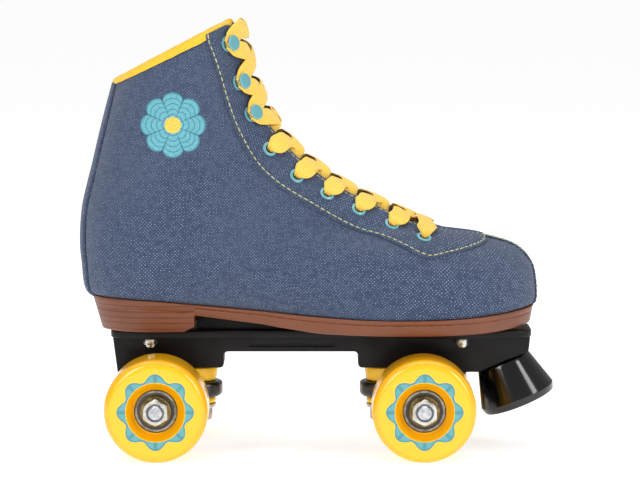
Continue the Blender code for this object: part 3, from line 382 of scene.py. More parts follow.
def make_weave():
    """Height, the mask of the pale weft yarns, and the slow change of tone from yarn to yarn."""
    group, start, end = shader_group(
        "woven canvas",
        [("Flat", VECTOR, None), ("Pitch", NUMBER, 0.00105), ("Turn", NUMBER, 0.0)],
        [("Height", NUMBER), ("Weft", NUMBER), ("Tone", NUMBER)],
    )
    turned_flat = add(
        group, "ShaderNodeVectorRotate", {"Vector": start.outputs["Flat"], "Angle": start.outputs["Turn"]},
        rotation_type="Z_AXIS",
    ).outputs[0]
    wander = add(group, "ShaderNodeTexNoise", {"Vector": turned_flat, "Scale": 260.0, "Detail": 1.0})
    shift = add(
        group, "ShaderNodeVectorMath", {0: wander.outputs["Color"], 1: (0.0011, 0.0011, 0.0)}, operation="MULTIPLY"
    ).outputs[0]
    moved = add(group, "ShaderNodeVectorMath", {0: turned_flat, 1: shift}, operation="ADD").outputs[0]
    parts = add(group, "ShaderNodeSeparateXYZ", {0: moved})
    across = maths(group, "DIVIDE", parts.outputs[0], start.outputs["Pitch"])
    along = maths(group, "DIVIDE", parts.outputs[1], start.outputs["Pitch"])
    wave_a = maths(group, "SINE", times(group, across, math.pi))
    wave_b = maths(group, "SINE", times(group, along, math.pi))
    product = times(group, wave_a, wave_b)
    height = maths(group, "POWER", maths(group, "ABSOLUTE", product), 0.6)
    weft = ramp(group, product, 0.05, 0.75)
    # Each yarn has its own tone, and thick places along it.
    warp_cell = add(
        group, "ShaderNodeCombineXYZ", {0: maths(group, "FLOOR", across), 1: times(group, along, SLUB)}
    )
    weft_cell = add(
        group, "ShaderNodeCombineXYZ", {0: times(group, across, SLUB), 1: maths(group, "FLOOR", along)}
    )
    warp_tone = clouds(group, warp_cell.outputs[0], 1.7, 2.0)
    weft_tone = clouds(group, weft_cell.outputs[0], 1.7, 2.0)
    tone = times(group, maths(group, "ADD", warp_tone, weft_tone), 0.5)
    group.links.new(height, end.inputs["Height"])
    group.links.new(weft, end.inputs["Weft"])
    group.links.new(tone, end.inputs["Tone"])
    return group


WEAVE = make_weave()


# %% Fine grain, worn edges and settled dust
def make_grain():
    group, start, end = shader_group(
        "fine grain", [("Place", VECTOR, None), ("Size", NUMBER, 0.001)], [("Height", NUMBER), ("Tone", NUMBER)]
    )
    scale = maths(group, "DIVIDE", 1.0, start.outputs["Size"])
    fine = clouds(group, start.outputs["Place"], scale, 3.0)
    slow = times(group, scale, 0.06)
    broad = clouds(group, start.outputs["Place"], slow, 2.0)
    group.links.new(fine, end.inputs["Height"])
    group.links.new(broad, end.inputs["Tone"])
    return group


def make_wear():
    """A mask that is 1 on edges of about the given width, broken up by noise."""
    group, start, end = shader_group(
        "worn edges", [("Place", VECTOR, None), ("Width", NUMBER, 0.0006)], [("Mask", NUMBER)]
    )
    rounded = add(group, "ShaderNodeBevel", {"Radius": start.outputs["Width"]}, samples=4)
    plain = add(group, "ShaderNodeNewGeometry")
    likeness = add(
        group, "ShaderNodeVectorMath", {0: rounded.outputs[0], 1: plain.outputs["Normal"]}, operation="DOT_PRODUCT"
    ).outputs["Value"]
    edge = ramp(group, likeness, 0.995, 0.88)
    patches = clouds(group, start.outputs["Place"], 420.0, 3.0)
    group.links.new(times(group, edge, ramp(group, patches, 0.35, 0.65)), end.inputs["Mask"])
    return group


def make_dust():
    """A mask of what faces up, in soft patches."""
    group, start, end = shader_group("settled dust", [("Place", VECTOR, None)], [("Mask", NUMBER)])
    facing = add(group, "ShaderNodeSeparateXYZ", {0: add(group, "ShaderNodeNewGeometry").outputs["Normal"]})
    patches = clouds(group, start.outputs["Place"], 70.0, 4.0)
    upward = ramp(group, facing.outputs["Z"], 0.2, 1.0)
    group.links.new(times(group, upward, ramp(group, patches, 0.4, 0.75)), end.inputs["Mask"])
    return group


GRAIN, WEAR, DUST = make_grain(), make_wear(), make_dust()

# %% [markdown]
# ## Finishes
#
# Each finish starts from the same plain one and adds what the real material shows: canvas is
# matt with a faint fuzz, urethane lets a little light in, painted steel has a thin clear skin,
# and zinc plating is cloudy metal. Colours are given as they look in daylight.


# %% A plain finish to build on
def plain_finish(name, base, roughness, **sockets):
    """A material, its tree and its shader, with constants set on the shader's own sockets."""
    finish = bpy.data.materials.new(name)
    finish.use_nodes = True
    tree = finish.node_tree
    shader = tree.nodes["Principled BSDF"]
    shader.inputs["Base Color"].default_value = base
    shader.inputs["Roughness"].default_value = roughness
    for label, value in sockets.items():
        shader.inputs[label.replace("_", " ")].default_value = value
    return finish, tree, shader


def bump(tree, shader, height, distance, strength=1.0):
    made = add(tree, "ShaderNodeBump", {"Height": height, "Distance": distance, "Strength": strength})
    tree.links.new(made.outputs[0], shader.inputs["Normal"])
    return made


def use_group(tree, group, **inputs):
    made = add(tree, "ShaderNodeGroup", node_tree=group)
    for label, value in inputs.items():
        if isinstance(value, bpy.types.NodeSocket):
            tree.links.new(value, made.inputs[label])
        else:
            made.inputs[label].default_value = value
    return made


# %% Canvas
def canvas(name, warp, weft, turn=0.0, pitch=0.00105):
    finish, tree, shader = plain_finish(
        name, warp, 0.92, Sheen_Weight=0.18, Sheen_Roughness=0.5, Specular_IOR_Level=0.25
    )
    flat = add(tree, "ShaderNodeUVMap", uv_map="cloth").outputs[0]
    weave = use_group(tree, WEAVE, Flat=flat, Pitch=pitch, Turn=turn)
    place = local_place(tree)
    wash = clouds(tree, place, 16.0, 3.0)
    light = times(tree, weave.outputs["Weft"], ramp(tree, weave.outputs["Tone"], 0.38, 0.62, 0.05, 1.0))
    yarns = blend_colour(tree, light, warp, weft)
    # Painted shade: the hollows between the yarns are blended towards a near-black blue.
    deep = ramp(tree, weave.outputs["Height"], 0.0, 0.55, 0.5, 0.0)
    shaded = blend_colour(tree, deep, yarns, (0.012, 0.02, 0.05, 1))
    faded = blend_colour(tree, ramp(tree, wash, 0.35, 0.7, 0.0, 0.3), shaded, (0.08, 0.103, 0.165, 1))
    paint(tree, shader, faded)
    bump(tree, shader, weave.outputs["Height"], 0.00022, 0.8)
    return finish


DENIM = canvas("blue canvas", colour(56, 70, 97), colour(126, 142, 168), pitch=0.00082)
FACING_CANVAS = canvas(
    "blue canvas on the bias", colour(54, 68, 95), colour(122, 138, 164), turn=math.radians(28), pitch=0.00082
)
LINING = canvas("lining canvas", colour(48, 60, 90), colour(88, 102, 134), pitch=0.0008)
print("finishes so far:", [m.name for m in bpy.data.materials])


# %% Tape, laces and thread
PICK_PITCH = 0.0009


def ribbed(name, base, groove_shade, ribs_across, roughness=0.75):
    """A woven tape with ribs along its length. Its flat coordinate runs across, then along."""
    finish, tree, shader = plain_finish(
        name, base, roughness, Sheen_Weight=0.25, Sheen_Roughness=0.4, Specular_IOR_Level=0.3
    )
    across, along = flat_parts(tree)
    rib = maths(tree, "SINE", times(tree, across, ribs_across * 2 * math.pi))
    pick = maths(tree, "SINE", times(tree, along, 2 * math.pi / PICK_PITCH))
    height = maths(tree, "ADD", times(tree, rib, 0.5), times(tree, pick, 0.18))
    # Painted shade: the grooves between the ribs are blended towards a darker colour.
    groove = ramp(tree, rib, -0.2, -1.0, 0.0, 0.75)
    paint(tree, shader, blend_colour(tree, groove, base, groove_shade))
    bump(tree, shader, height, 0.00018, 0.7)
    return finish


LACE_YELLOW = ribbed("yellow lace", colour(252, 214, 96), colour(226, 160, 34), 1100.0)
TAPE_YELLOW = ribbed("yellow binding tape", colour(250, 204, 58), colour(222, 156, 24), 1500.0)


def thread(name, base, dark):
    finish, tree, shader = plain_finish(name, base, 0.6, Sheen_Weight=0.3, Specular_IOR_Level=0.3)
    place = local_place(tree)
    twist = clouds(tree, place, 2200.0, 2.0)
    paint(tree, shader, blend_colour(tree, ramp(tree, twist, 0.4, 0.7), base, dark))
    bump(tree, shader, twist, 0.00012)
    return finish


THREAD = thread("pale stitching", colour(214, 212, 150), colour(150, 150, 92))
THREAD_GREEN = thread("green-yellow stitching", colour(206, 208, 130), colour(120, 128, 80))
THREAD_BLUE = thread("blue-grey stitching", colour(126, 138, 158), colour(60, 72, 98))


# %% Paint, rubber, nylon and leather-brown
def moulded(name, base, roughness, grain=0.0008, depth=0.00004, worn=None, coat=0.0, dust=0.0, **sockets):
    """A moulded, cast or painted surface with fine grain, worn edges and a little dust."""
    finish, tree, shader = plain_finish(name, base, roughness, **sockets)
    shader.inputs["Coat Weight"].default_value = coat
    place = local_place(tree)
    fine = use_group(tree, GRAIN, Place=place, Size=grain)
    tone = ramp(tree, fine.outputs["Tone"], 0.3, 0.7, 0.0, 0.22)
    shown = blend_colour(tree, tone, base, tuple(0.72 * c for c in base[:3]) + (1,))
    if worn:
        edges = use_group(tree, WEAR, Place=place, Width=0.0007)
        shown = blend_colour(tree, times(tree, edges.outputs["Mask"], 0.55), shown, worn)
    if dust:
        settled = use_group(tree, DUST, Place=place)
        shown = blend_colour(tree, times(tree, settled.outputs["Mask"], dust), shown, colour(168, 164, 156))
    paint(tree, shader, shown)
    tree.links.new(
        ramp(tree, fine.outputs["Tone"], 0.3, 0.7, max(0.04, roughness - 0.06), roughness + 0.08),
        shader.inputs["Roughness"],
    )
    bump(tree, shader, fine.outputs["Height"], depth, 0.6)
    return finish


TEAL = moulded("teal painted metal", colour(96, 162, 172), 0.32, worn=colour(196, 214, 214), coat=0.5, grain=0.002)
NYLON = moulded("black nylon", colour(12, 9, 9), 0.38, worn=colour(40, 37, 37), dust=0.015, Specular_IOR_Level=0.22)
BLACK_METAL = moulded("black enamelled metal", colour(18, 17, 18), 0.3, worn=colour(66, 64, 64), coat=0.3, grain=0.003)
RUBBER = moulded("black rubber", colour(6, 5, 6), 0.08, grain=0.004, depth=0.000006, Specular_IOR_Level=0.6)
CUSHION_YELLOW = moulded(
    "yellow cushion urethane", colour(250, 196, 24), 0.3, grain=0.003, Subsurface_Weight=0.25, Subsurface_Scale=0.004
)
BOARD = moulded("insole board", colour(176, 142, 100), 0.85, grain=0.0006)


# %% The brown sole
def sole_rubber():
    """Brown rubber. The heel shows the edges of its stacked layers."""
    base = colour(117, 63, 34)
    finish, tree, shader = plain_finish("brown sole", base, 0.48)
    place = local_place(tree)
    parts = add(tree, "ShaderNodeSeparateXYZ", {0: place})
    fine = use_group(tree, GRAIN, Place=place, Size=0.0012)
    layer = maths(tree, "SINE", times(tree, parts.outputs[2], 2 * math.pi / 0.0031))
    heel = ramp(tree, parts.outputs[0], -0.060, -0.070)
    line = times(tree, ramp(tree, layer, 0.72, 0.98), heel)
    shown = blend_colour(tree, ramp(tree, fine.outputs["Tone"], 0.3, 0.7, 0, 0.35), base, colour(95, 50, 28))
    shown = blend_colour(tree, times(tree, line, 0.6), shown, colour(66, 36, 24))
    edges = use_group(tree, WEAR, Place=place, Width=0.0009)
    shown = blend_colour(tree, times(tree, edges.outputs["Mask"], 0.6), shown, colour(156, 98, 62))
    paint(tree, shader, shown)
    height = maths(tree, "SUBTRACT", times(tree, fine.outputs["Height"], 0.3), line)
    bump(tree, shader, height, 0.0002, 0.7)
    return finish


SOLE_BROWN = sole_rubber()


# %% Plated and bare metal
def metal(name, base, tint, roughness):
    finish, tree, shader = plain_finish(name, base, roughness, Metallic=1.0)
    place = local_place(tree)
    cloud = clouds(tree, place, 300.0, 4.0)
    paint(tree, shader, blend_colour(tree, ramp(tree, cloud, 0.35, 0.7), base, tint))
    tree.links.new(ramp(tree, cloud, 0.3, 0.7, roughness - 0.07, roughness + 0.12), shader.inputs["Roughness"])
    bump(tree, shader, cloud, 0.00003, 0.5)
    return finish


ZINC = metal("zinc plating", colour(204, 202, 196), colour(190, 186, 172), 0.22)
STEEL = metal("bare steel", colour(200, 200, 202), colour(170, 170, 174), 0.2)
YELLOW_ZINC = metal("yellow zinc washer", colour(132, 114, 72), colour(92, 76, 46), 0.3)
BEARING_STEEL = metal("bearing steel", colour(150, 142, 130), colour(112, 104, 94), 0.3)
SHIELD = moulded("bearing shield", colour(84, 78, 70), 0.38, grain=0.002, Metallic=0.7)
LOCK_RING = moulded("blue-grey nylon lock ring", colour(72, 86, 108), 0.4, grain=0.002)

# %% [markdown]
# ## The boot's shape
#
# The boot is a last's shape: rings that run from the sole's seam up to the collar, each from its
# front middle round to its back middle. A place on it is a level (which ring) and a turn, which
# is 0 at the front, 1 at the back along the inner side and -1 along the outer side. Everything
# sewn to the boot is laid out in these two numbers, so it follows the canvas exactly.

# %% Rings and outlines of the last
# Front x and height over the plate, back x and height, and the length the front rounds over.
RINGS = (
    (112.3, 11.0, -119.5, 18.0, 55.0),
    (115.2, 20.0, -124.3, 26.0, 58.0),
    (113.0, 33.0, -125.8, 35.0, 72.0),
    (104.0, 43.0, -126.6, 44.0, 115.0),
    (86.0, 48.6, -126.4, 54.0, 165.0),
    (64.0, 52.0, -125.3, 65.0, 180.0),
    (37.0, 63.5, -122.8, 76.0, 150.0),
    (8.0, 78.5, -119.7, 88.0, 110.0),
    (-17.0, 99.5, -116.6, 101.0, 72.0),
    (-34.0, 126.0, -112.8, 116.0, 46.0),
    (-43.5, 163.0, -108.8, 130.5, 38.0),
)
COLLAR = len(RINGS) - 1
# Half widths along x, outer then inner: at the sole's seam, then at the boot's fullest.
SOLE_PLAN = (
    (-127, 31, 31), (-90, 31, 31), (-40, 29, 26.5), (-8, 33, 29), (35, 45, 43), (75, 44, 44.5),
    (116, 38, 42),
)
BODY_PLAN = (
    (-127, 33, 33), (-95, 33.5, 33.5), (-50, 36.5, 35.5), (-8, 40.5, 38.5), (35, 46.5, 45),
    (75, 45.5, 46), (116, 39, 43),
)
SOLE_TOP = (
    (-130, 18.2), (-95, 17.6), (-62, 14.8), (-31, 12), (-6, 9.7), (20, 8.6), (60, 8.6), (90, 9.6),
    (117, 12),
)
SOLE_UNDERSIDE = ((-66, 9.4), (-30, 4.8), (-12, 1.9), (2, 0.3), (84, 0.3), (100, 1.2), (117, 3.2))
BACK_ROUND = 33 * MM
TOE_SWING = 5 * MM
FABRIC = 2.5 * MM
GAP = 0.3 * MM
THROAT_LEVEL = 5.0
THROAT_HALF_WIDTH = 13 * MM
THROAT_ROUND = 0.7
FULL_LEVEL = 2
TOE_X = 0.115
NEAR = 0.01
HALVINGS = 24


# %% Points on the last
def between(rows, place):
    """The rows' values at a place between them, on a smooth curve through all of them."""
    last = len(rows) - 1
    step = max(0, min(int(place), last - 1))
    t = place - step
    near, far = rows[step], rows[step + 1]
    before = rows[step - 1] if step > 0 else [2 * a - b for a, b in zip(near, far)]
    after = rows[step + 2] if step + 2 <= last else [2 * b - a for a, b in zip(near, far)]
    values = []
    for p, a, b, q in zip(before, near, far, after):
        rise, fall = (b - p) / 2, (q - a) / 2
        values.append(
            a + rise * t + (3 * (b - a) - 2 * rise - fall) * t**2 + (2 * (a - b) + rise + fall) * t**3
        )
    return values


def at_x(points, x):
    x = x / MM
    place = 0.0
    for i, (a, b) in enumerate(zip(points, points[1:])):
        if x >= a[0]:
            place = i + min(1.0, (x - a[0]) / (b[0] - a[0]))
    return [value * MM for value in between(points, place)][1:]


def ring(level):
    front_x, front_z, back_x, back_z, rounding = (v * MM for v in between(RINGS, level))
    return front_x, front_z + PLATE_TOP, back_x, back_z + PLATE_TOP, rounding


def sole_top(x):
    return PLATE_TOP + at_x(SOLE_TOP, x)[0]


def round_end(distance, length):
    return math.sqrt(max(0.0, 1 - (1 - min(1.0, distance / length)) ** 2))


def swing_at(x):
    return TOE_SWING * max(0.0, x / TOE_X) ** 2


def bare_point(level, turn):
    front_x, front_z, back_x, back_z, rounding = ring(level)
    share = (1 - math.cos(math.pi * turn)) / 2
    x = front_x + (back_x - front_x) * share
    z = front_z + (back_z - front_z) * share
    length = math.hypot(front_x - back_x, front_z - back_z)
    side = 1 if turn > 0 else 0
    full = min(1.0, level / FULL_LEVEL)
    full = full * full * (3 - 2 * full)
    width = at_x(SOLE_PLAN, x)[side] * (1 - full) + at_x(BODY_PLAN, x)[side] * full
    if level < FULL_LEVEL:
        z += (sole_top(x) + GAP - z) * (1 - full)
    width *= round_end(share * length, rounding) * round_end((1 - share) * length, BACK_ROUND)
    return Vector((x, swing_at(x) + math.copysign(width, turn), z))


def boot_normal(level, turn):
    low, high = max(0.0, level - NEAR), min(COLLAR, level + NEAR)
    around = bare_point(level, turn + NEAR) - bare_point(level, turn - NEAR)
    upwards = bare_point(high, turn) - bare_point(low, turn)
    return around.cross(upwards).normalized()


def boot_point(level, turn, out=0.0):
    return bare_point(level, turn) + boot_normal(level, turn) * out


def turn_at_share(share):
    return math.acos(1 - 2 * max(0.0, min(1.0, share))) / math.pi


def turn_at_width(level, half_width):
    front_x, front_z, back_x, back_z, rounding = ring(level)
    full = at_x(BODY_PLAN, front_x)[0]
    distance = rounding * (1 - math.sqrt(max(0.0, 1 - (half_width / full) ** 2)))
    return turn_at_share(distance / math.hypot(front_x - back_x, front_z - back_z))


def throat_turn(level):
    """The edge of the lacing gap on one ring."""
    if level <= THROAT_LEVEL:
        return 0.0
    return turn_at_width(level, THROAT_HALF_WIDTH * round_end(level - THROAT_LEVEL, THROAT_ROUND))


def place_of(x, z):
    """The level and turn behind a point of the side view, given in mm over the plate."""
    x, z = x * MM, z * MM + PLATE_TOP
    low, high = 0.0, float(COLLAR)
    for _ in range(HALVINGS):
        middle = (low + high) / 2
        front_x, front_z, back_x, back_z, _ = ring(middle)
        share = (front_x - x) / (front_x - back_x)
        if front_z + (back_z - front_z) * share < z:
            low = middle
        else:
            high = middle
    front_x, _, back_x, _, _ = ring(low)
    return low, turn_at_share((front_x - x) / (front_x - back_x))


print("collar from", [round(v, 3) for v in bare_point(COLLAR, 0)], "to", [round(v, 3) for v in bare_point(COLLAR, 1)])

# %% [markdown]
# ## The canvas upper
#
# The upper is one canvas wall, 2.5 mm thick with its padding and lining, open at the top and
# along the lacing gap. Cloth never lies quite flat, so the surface has slow, shallow ripples.
# The weave has to follow the cloth, so each half is cut along the toe and heel seams and laid
# flat, as a pattern maker would, and that flat pattern carries the weave.


# %% Build the upper
ROWS_PER_RING = 8
POINTS_PER_HALF = 46


def ripple(point):
    """The slow unevenness of a sewn boot, in metres."""
    return 0.00035 * noise.noise(point * 34) + 0.00014 * noise.noise(point * 95)


def upper_rows():
    rows, marks = [], []
    for step in range(COLLAR * ROWS_PER_RING + 1):
        level = step / ROWS_PER_RING
        edge = throat_turn(level)
        turns = [edge + (1 - edge) * (i / POINTS_PER_HALF) for i in range(POINTS_PER_HALF)]
        turns = [-t for t in turns] + [1.0] + turns[::-1]
        points = [boot_point(level, t) for t in turns]
        rows.append([p + boot_normal(level, t) * ripple(p) for p, t in zip(points, turns)][::-1])
        marks.append([(t, level) for t in turns][::-1])
    return rows, marks


def lay_flat(piece, seam_turns):
    """Cuts the mesh along the seams, unwraps each half and scales it to metres, upright."""
    mesh = piece.data
    bpy.context.view_layer.objects.active = piece
    piece.select_set(True)
    turns = mesh.uv_layers["cloth"].data
    vertex_turn = {mesh.loops[i].vertex_index: turns[i].uv[0] for i in range(len(mesh.loops))}
    for edge in mesh.edges:
        a, b = (vertex_turn.get(v, 0.5) for v in edge.vertices)
        edge.use_seam = any(abs(abs(a) - s) < 1e-4 and abs(abs(b) - s) < 1e-4 for s in seam_turns)
    bpy.ops.object.mode_set(mode="EDIT")
    bpy.ops.mesh.select_all(action="SELECT")
    bpy.ops.uv.unwrap(method="ANGLE_BASED", margin=0.01)
    bpy.ops.object.mode_set(mode="OBJECT")
    piece.select_set(False)
    layer = mesh.uv_layers["cloth"].data
    for sign in (-1, 1):
        loops, flat, view = [], [], []
        for face in mesh.polygons:
            if sum(vertex_turn[v] for v in face.vertices) * sign < 0:
                continue
            for i in face.loop_indices:
                loops.append(i)
                if abs(face.normal.y) > 0.9:
                    co = mesh.vertices[mesh.loops[i].vertex_index].co
                    flat.append(layer[i].uv[:])
                    view.append((co.x, co.z))
        flat, view = np.array(flat), np.array(view)
        from_middle, to_middle = flat.mean(0), view.mean(0)
        u, s, vt = np.linalg.svd((flat - from_middle).T @ (view - to_middle))
        turn = u @ vt * (s.sum() / ((flat - from_middle) ** 2).sum())
        for i in loops:
            layer[i].uv = (np.array(layer[i].uv[:]) - from_middle) @ turn + to_middle
    print(piece.name, "laid flat:", len(mesh.polygons), "faces")


rows, marks = upper_rows()
upper = add_piece("upper", tidy_mesh(surface(rows, marks), 60, outward=False), DENIM, LINING)
lay_flat(upper, (0.0, 1.0))
thicken(upper, FABRIC, 1)
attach(upper, "root")
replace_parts(upper, "boot_upper")

# %% [markdown]
# ## Lines of stitching
#
# Stitches are the same short thread repeated along a path, so a node tree makes them: it turns
# the path into a curve, measures it out in stitches, and puts a small rounded thread at each
# one, turned along the path and up from the cloth. The path's points carry the cloth's normal.


# %% Geometry node helpers
def geometry_tree(name, inputs):
    """A tree with named inputs after its geometry, and its two ends."""
    tree = bpy.data.node_groups.new(name, "GeometryNodeTree")
    tree.interface.new_socket("Geometry", in_out="INPUT", socket_type="NodeSocketGeometry")
    for label, kind, value in inputs:
        socket = tree.interface.new_socket(label, in_out="INPUT", socket_type=kind)
        if value is not None:
            socket.default_value = value
    tree.interface.new_socket("Geometry", in_out="OUTPUT", socket_type="NodeSocketGeometry")
    return tree, add(tree, "NodeGroupInput"), add(tree, "NodeGroupOutput")


def upright(tree, normal, along):
    return add(
        tree, "FunctionNodeAxesToRotation", {"Primary Axis": normal, "Secondary Axis": along},
        primary_axis="Z", secondary_axis="X",
    ).outputs[0]


def named_vector(tree, label):
    read = add(tree, "GeometryNodeInputNamedAttribute", {"Name": label}, data_type="FLOAT_VECTOR")
    return read.outputs["Attribute"]


def finish_tree(tree, geometry, finish, end):
    real = add(tree, "GeometryNodeRealizeInstances", {"Geometry": geometry}).outputs[0]
    smooth = add(tree, "GeometryNodeSetShadeSmooth", {"Geometry": real}).outputs[0]
    painted = add(tree, "GeometryNodeSetMaterial", {"Geometry": smooth, "Material": finish}).outputs[0]
    tree.links.new(painted, end.inputs[0])


def stitch_tree():
    tree, start, end = geometry_tree(
        "line of stitches",
        [
            ("Stitch Length", "NodeSocketFloat", 0.0029),
            ("Pitch", "NodeSocketFloat", 0.0034),
            ("Thread Width", "NodeSocketFloat", 0.00062),
            ("Slant", "NodeSocketFloat", 0.0),
            ("Finish", "NodeSocketMaterial", None),
        ],
    )
    inputs = start.outputs
    path = add(tree, "GeometryNodeMeshToCurve", {"Mesh": inputs["Geometry"]}).outputs[0]
    measured = add(
        tree, "GeometryNodeResampleCurve", {"Curve": path, "Length": inputs["Pitch"]}, mode="LENGTH"
    ).outputs[0]
    bead = add(tree, "GeometryNodeMeshUVSphere", {"Segments": 8, "Rings": 5, "Radius": 0.5}).outputs["Mesh"]
    size = add(
        tree, "ShaderNodeCombineXYZ",
        {0: inputs["Stitch Length"], 1: inputs["Thread Width"], 2: inputs["Thread Width"]},
    ).outputs[0]
    rotation = upright(tree, named_vector(tree, "up"), add(tree, "GeometryNodeInputTangent").outputs[0])
    angles = add(tree, "ShaderNodeCombineXYZ", {2: inputs["Slant"]}).outputs[0]
    lean = add(tree, "FunctionNodeEulerToRotation", {0: angles}).outputs[0]
    slanted = add(
        tree, "FunctionNodeRotateRotation", {0: rotation, 1: lean}, rotation_space="LOCAL"
    ).outputs[0]
    stitches = add(
        tree, "GeometryNodeInstanceOnPoints",
        {"Points": measured, "Instance": bead, "Rotation": slanted, "Scale": size},
    ).outputs[0]
    finish_tree(tree, stitches, inputs["Finish"], end)
    return tree


def copies_tree():
    tree, start, end = geometry_tree(
        "copies on points",
        [("Copy", "NodeSocketObject", None), ("Finish", "NodeSocketMaterial", None)],
    )
    inputs = start.outputs
    copy = add(tree, "GeometryNodeObjectInfo", {"Object": inputs["Copy"]}).outputs["Geometry"]
    rotation = upright(tree, named_vector(tree, "up"), named_vector(tree, "along"))
    placed_copies = add(
        tree, "GeometryNodeInstanceOnPoints",
        {"Points": inputs["Geometry"], "Instance": copy, "Rotation": rotation},
    ).outputs[0]
    finish_tree(tree, placed_copies, inputs["Finish"], end)
    return tree


STITCHES, COPIES = stitch_tree(), copies_tree()


# %% Grow details from points or paths
def seed(points, ups, alongs=None, paths=None):
    """A mesh of points, joined in paths if their lengths are given, that carries directions."""
    edges = []
    first = 0
    for count in paths or ():
        edges += [(first + i, first + i + 1) for i in range(count - 1)]
        first += count
    mesh = bpy.data.meshes.new("seed")
    mesh.from_pydata([tuple(p) for p in points], edges, [])
    for label, vectors in (("up", ups), ("along", alongs)):
        if vectors:
            attribute = mesh.attributes.new(label, "FLOAT_VECTOR", "POINT")
            attribute.data.foreach_set("vector", [c for v in vectors for c in v])
    return mesh


def grow(name, seed_mesh, tree, finish, **values):
    """Runs a tree on a seed and returns its result as a plain piece."""
    base = add_piece(name + "_seed", seed_mesh)
    step = base.modifiers.new("grow", "NODES")
    step.node_group = tree
    sockets = {item.name: item.identifier for item in tree.interface.items_tree if item.in_out == "INPUT"}
    step[sockets["Finish"]] = finish
    for label, value in values.items():
        step[sockets[label.replace("_", " ")]] = value
    mesh = evaluated(base)
    bpy.data.objects.remove(base)
    piece = add_piece(name, mesh, finish)
    print(name, "has", len(mesh.polygons), "faces")
    return piece


def on_boot(places, out):
    """Points and normals at (level, turn) places, at a height over the canvas."""
    return [boot_point(a, t, out) for a, t in places], [boot_normal(a, t) for a, t in places]


def stitch_lines(name, lines, out, finish=THREAD, body="root", **values):
    """One piece of stitching along several lines of places on the boot."""
    points, ups, paths = [], [], []
    for line in lines:
        line_points, line_ups = on_boot(line, out)
        points += line_points
        ups += line_ups
        paths.append(len(line_points))
    piece = grow(name, seed(points, ups, paths=paths), STITCHES, finish, **values)
    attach(piece, body)
    return piece


# %% [markdown]
# ## Facings
#
# A facing is a second layer of canvas along each side of the lacing gap, cut on the bias so that
# it can't stretch there. Its edges are turned under, so it swells a little between its two rows
# of stitching and dips along them.

# %% Lay out the facings
FACING_EDGE = (
    (69.5, 42.2), (51, 41.6), (24, 52.6), (-9, 69), (-31.5, 85.6), (-43.2, 104.4), (-52.4, 132),
    (-60, 155),
)
FACING_TOE_LEVEL = 4.1
SEAM_TURN = 0.012
FACING_TOP = 1.7 * MM
FACING_RISE = 1.5 * MM
EDGE_STITCH = 1.6 * MM
THROAT_STITCH = 2.6 * MM

FACING_OUTLINE = [(FACING_TOE_LEVEL, 0.0)] + [place_of(x, z) for x, z in FACING_EDGE]
FACING_OUTLINE.append((COLLAR, FACING_OUTLINE[-1][1]))


def facing_place(t, s):
    """A place on the outer facing: t from the toe up to the collar, s from the gap outwards."""
    level = THROAT_LEVEL + (COLLAR - THROAT_LEVEL) * t**1.15
    near = (level, max(throat_turn(level), SEAM_TURN))
    far = between(FACING_OUTLINE, t * (len(FACING_OUTLINE) - 1))
    turn = max(SEAM_TURN, near[1] + (far[1] - near[1]) * s)
    return min(near[0] + (far[0] - near[0]) * s, COLLAR), turn


def facing_width(t):
    return (boot_point(*facing_place(t, 0)) - boot_point(*facing_place(t, 1))).length


def facing_height(t, s):
    """The height of the facing's face over the canvas: turned edges, and dips at the stitches."""
    width = facing_width(t)
    near, far = s * width, (1 - s) * width
    edge = min(1.0, min(near, far) / (0.9 * MM))
    height = FACING_TOP * math.sqrt(max(0.0, 1 - (1 - edge) ** 2))
    for distance in (abs(near - THROAT_STITCH), abs(far - EDGE_STITCH)):
        height -= 0.45 * MM * math.exp(-((distance / (0.8 * MM)) ** 2))
    return max(0.05 * MM, height)


# %% Build the facings
def collar_rise(turn):
    """The way the canvas runs up to the collar."""
    return (boot_point(COLLAR, turn) - boot_point(COLLAR - 0.2, turn)).normalized()


def facing(name, sign):
    steps, across = 84, 26
    rows, flat = [], []
    for i in range(steps + 1):
        t = i / steps
        row, marks_row = [], []
        for k in range(across + 1):
            s = (1 - math.cos(math.pi * k / across)) / 2
            level, turn = facing_place(t, s)
            out = facing_height(t, s)
            if k == 0:
                out = -1.2 * MM
            level -= 0.32 * max(0.0, 1 - s / 0.45) ** 2 * max(0.0, (t - 0.9) / 0.1) ** 2
            point = boot_point(level, sign * turn, out)
            point.z += collar_rise(turn).z * FACING_RISE * max(0.0, (t - 0.9) / 0.1)
            row.append(point)
            marks_row.append((point.x, point.z))
        rows.append(row if sign > 0 else row[::-1])
        flat.append(marks_row if sign > 0 else marks_row[::-1])
    piece = add_piece(name, tidy_mesh(surface(rows, flat), 50, outward=False), FACING_CANVAS)
    thicken(piece, 0.4 * MM)
    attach(piece, "root")
    return piece


for side, sign in SIDES.items():
    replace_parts(facing(f"lacing_facing_{side}", sign), f"facing_{side}")


def along_facing(distance_from_edge, from_gap, start=0.0, end=1.0):
    line = []
    for i in range(91):
        t = start + (end - start) * i / 90
        share = distance_from_edge / facing_width(t)
        line.append(facing_place(t, share if from_gap else 1 - share))
    return line


edge_line = along_facing(EDGE_STITCH, False, 0.03, 0.995)
throat_line = along_facing(THROAT_STITCH, True, 0.1, 0.97)
mirrored = [[(a, -t) for a, t in line] for line in (edge_line, throat_line)]
stitch_lines("facing_stitches", [edge_line, throat_line] + mirrored, FACING_TOP - 0.25 * MM)

# %% [markdown]
# ## Toe seam, back stay and their stitches
#
# The two halves of the upper meet down the middle of the toe, where the seam is taped and
# overstitched. A broad canvas stay covers the seam at the back. Both are narrow strips that
# follow the last, so one helper lays them: it finds the turn that lies a given distance from
# the middle of the toe or of the heel.


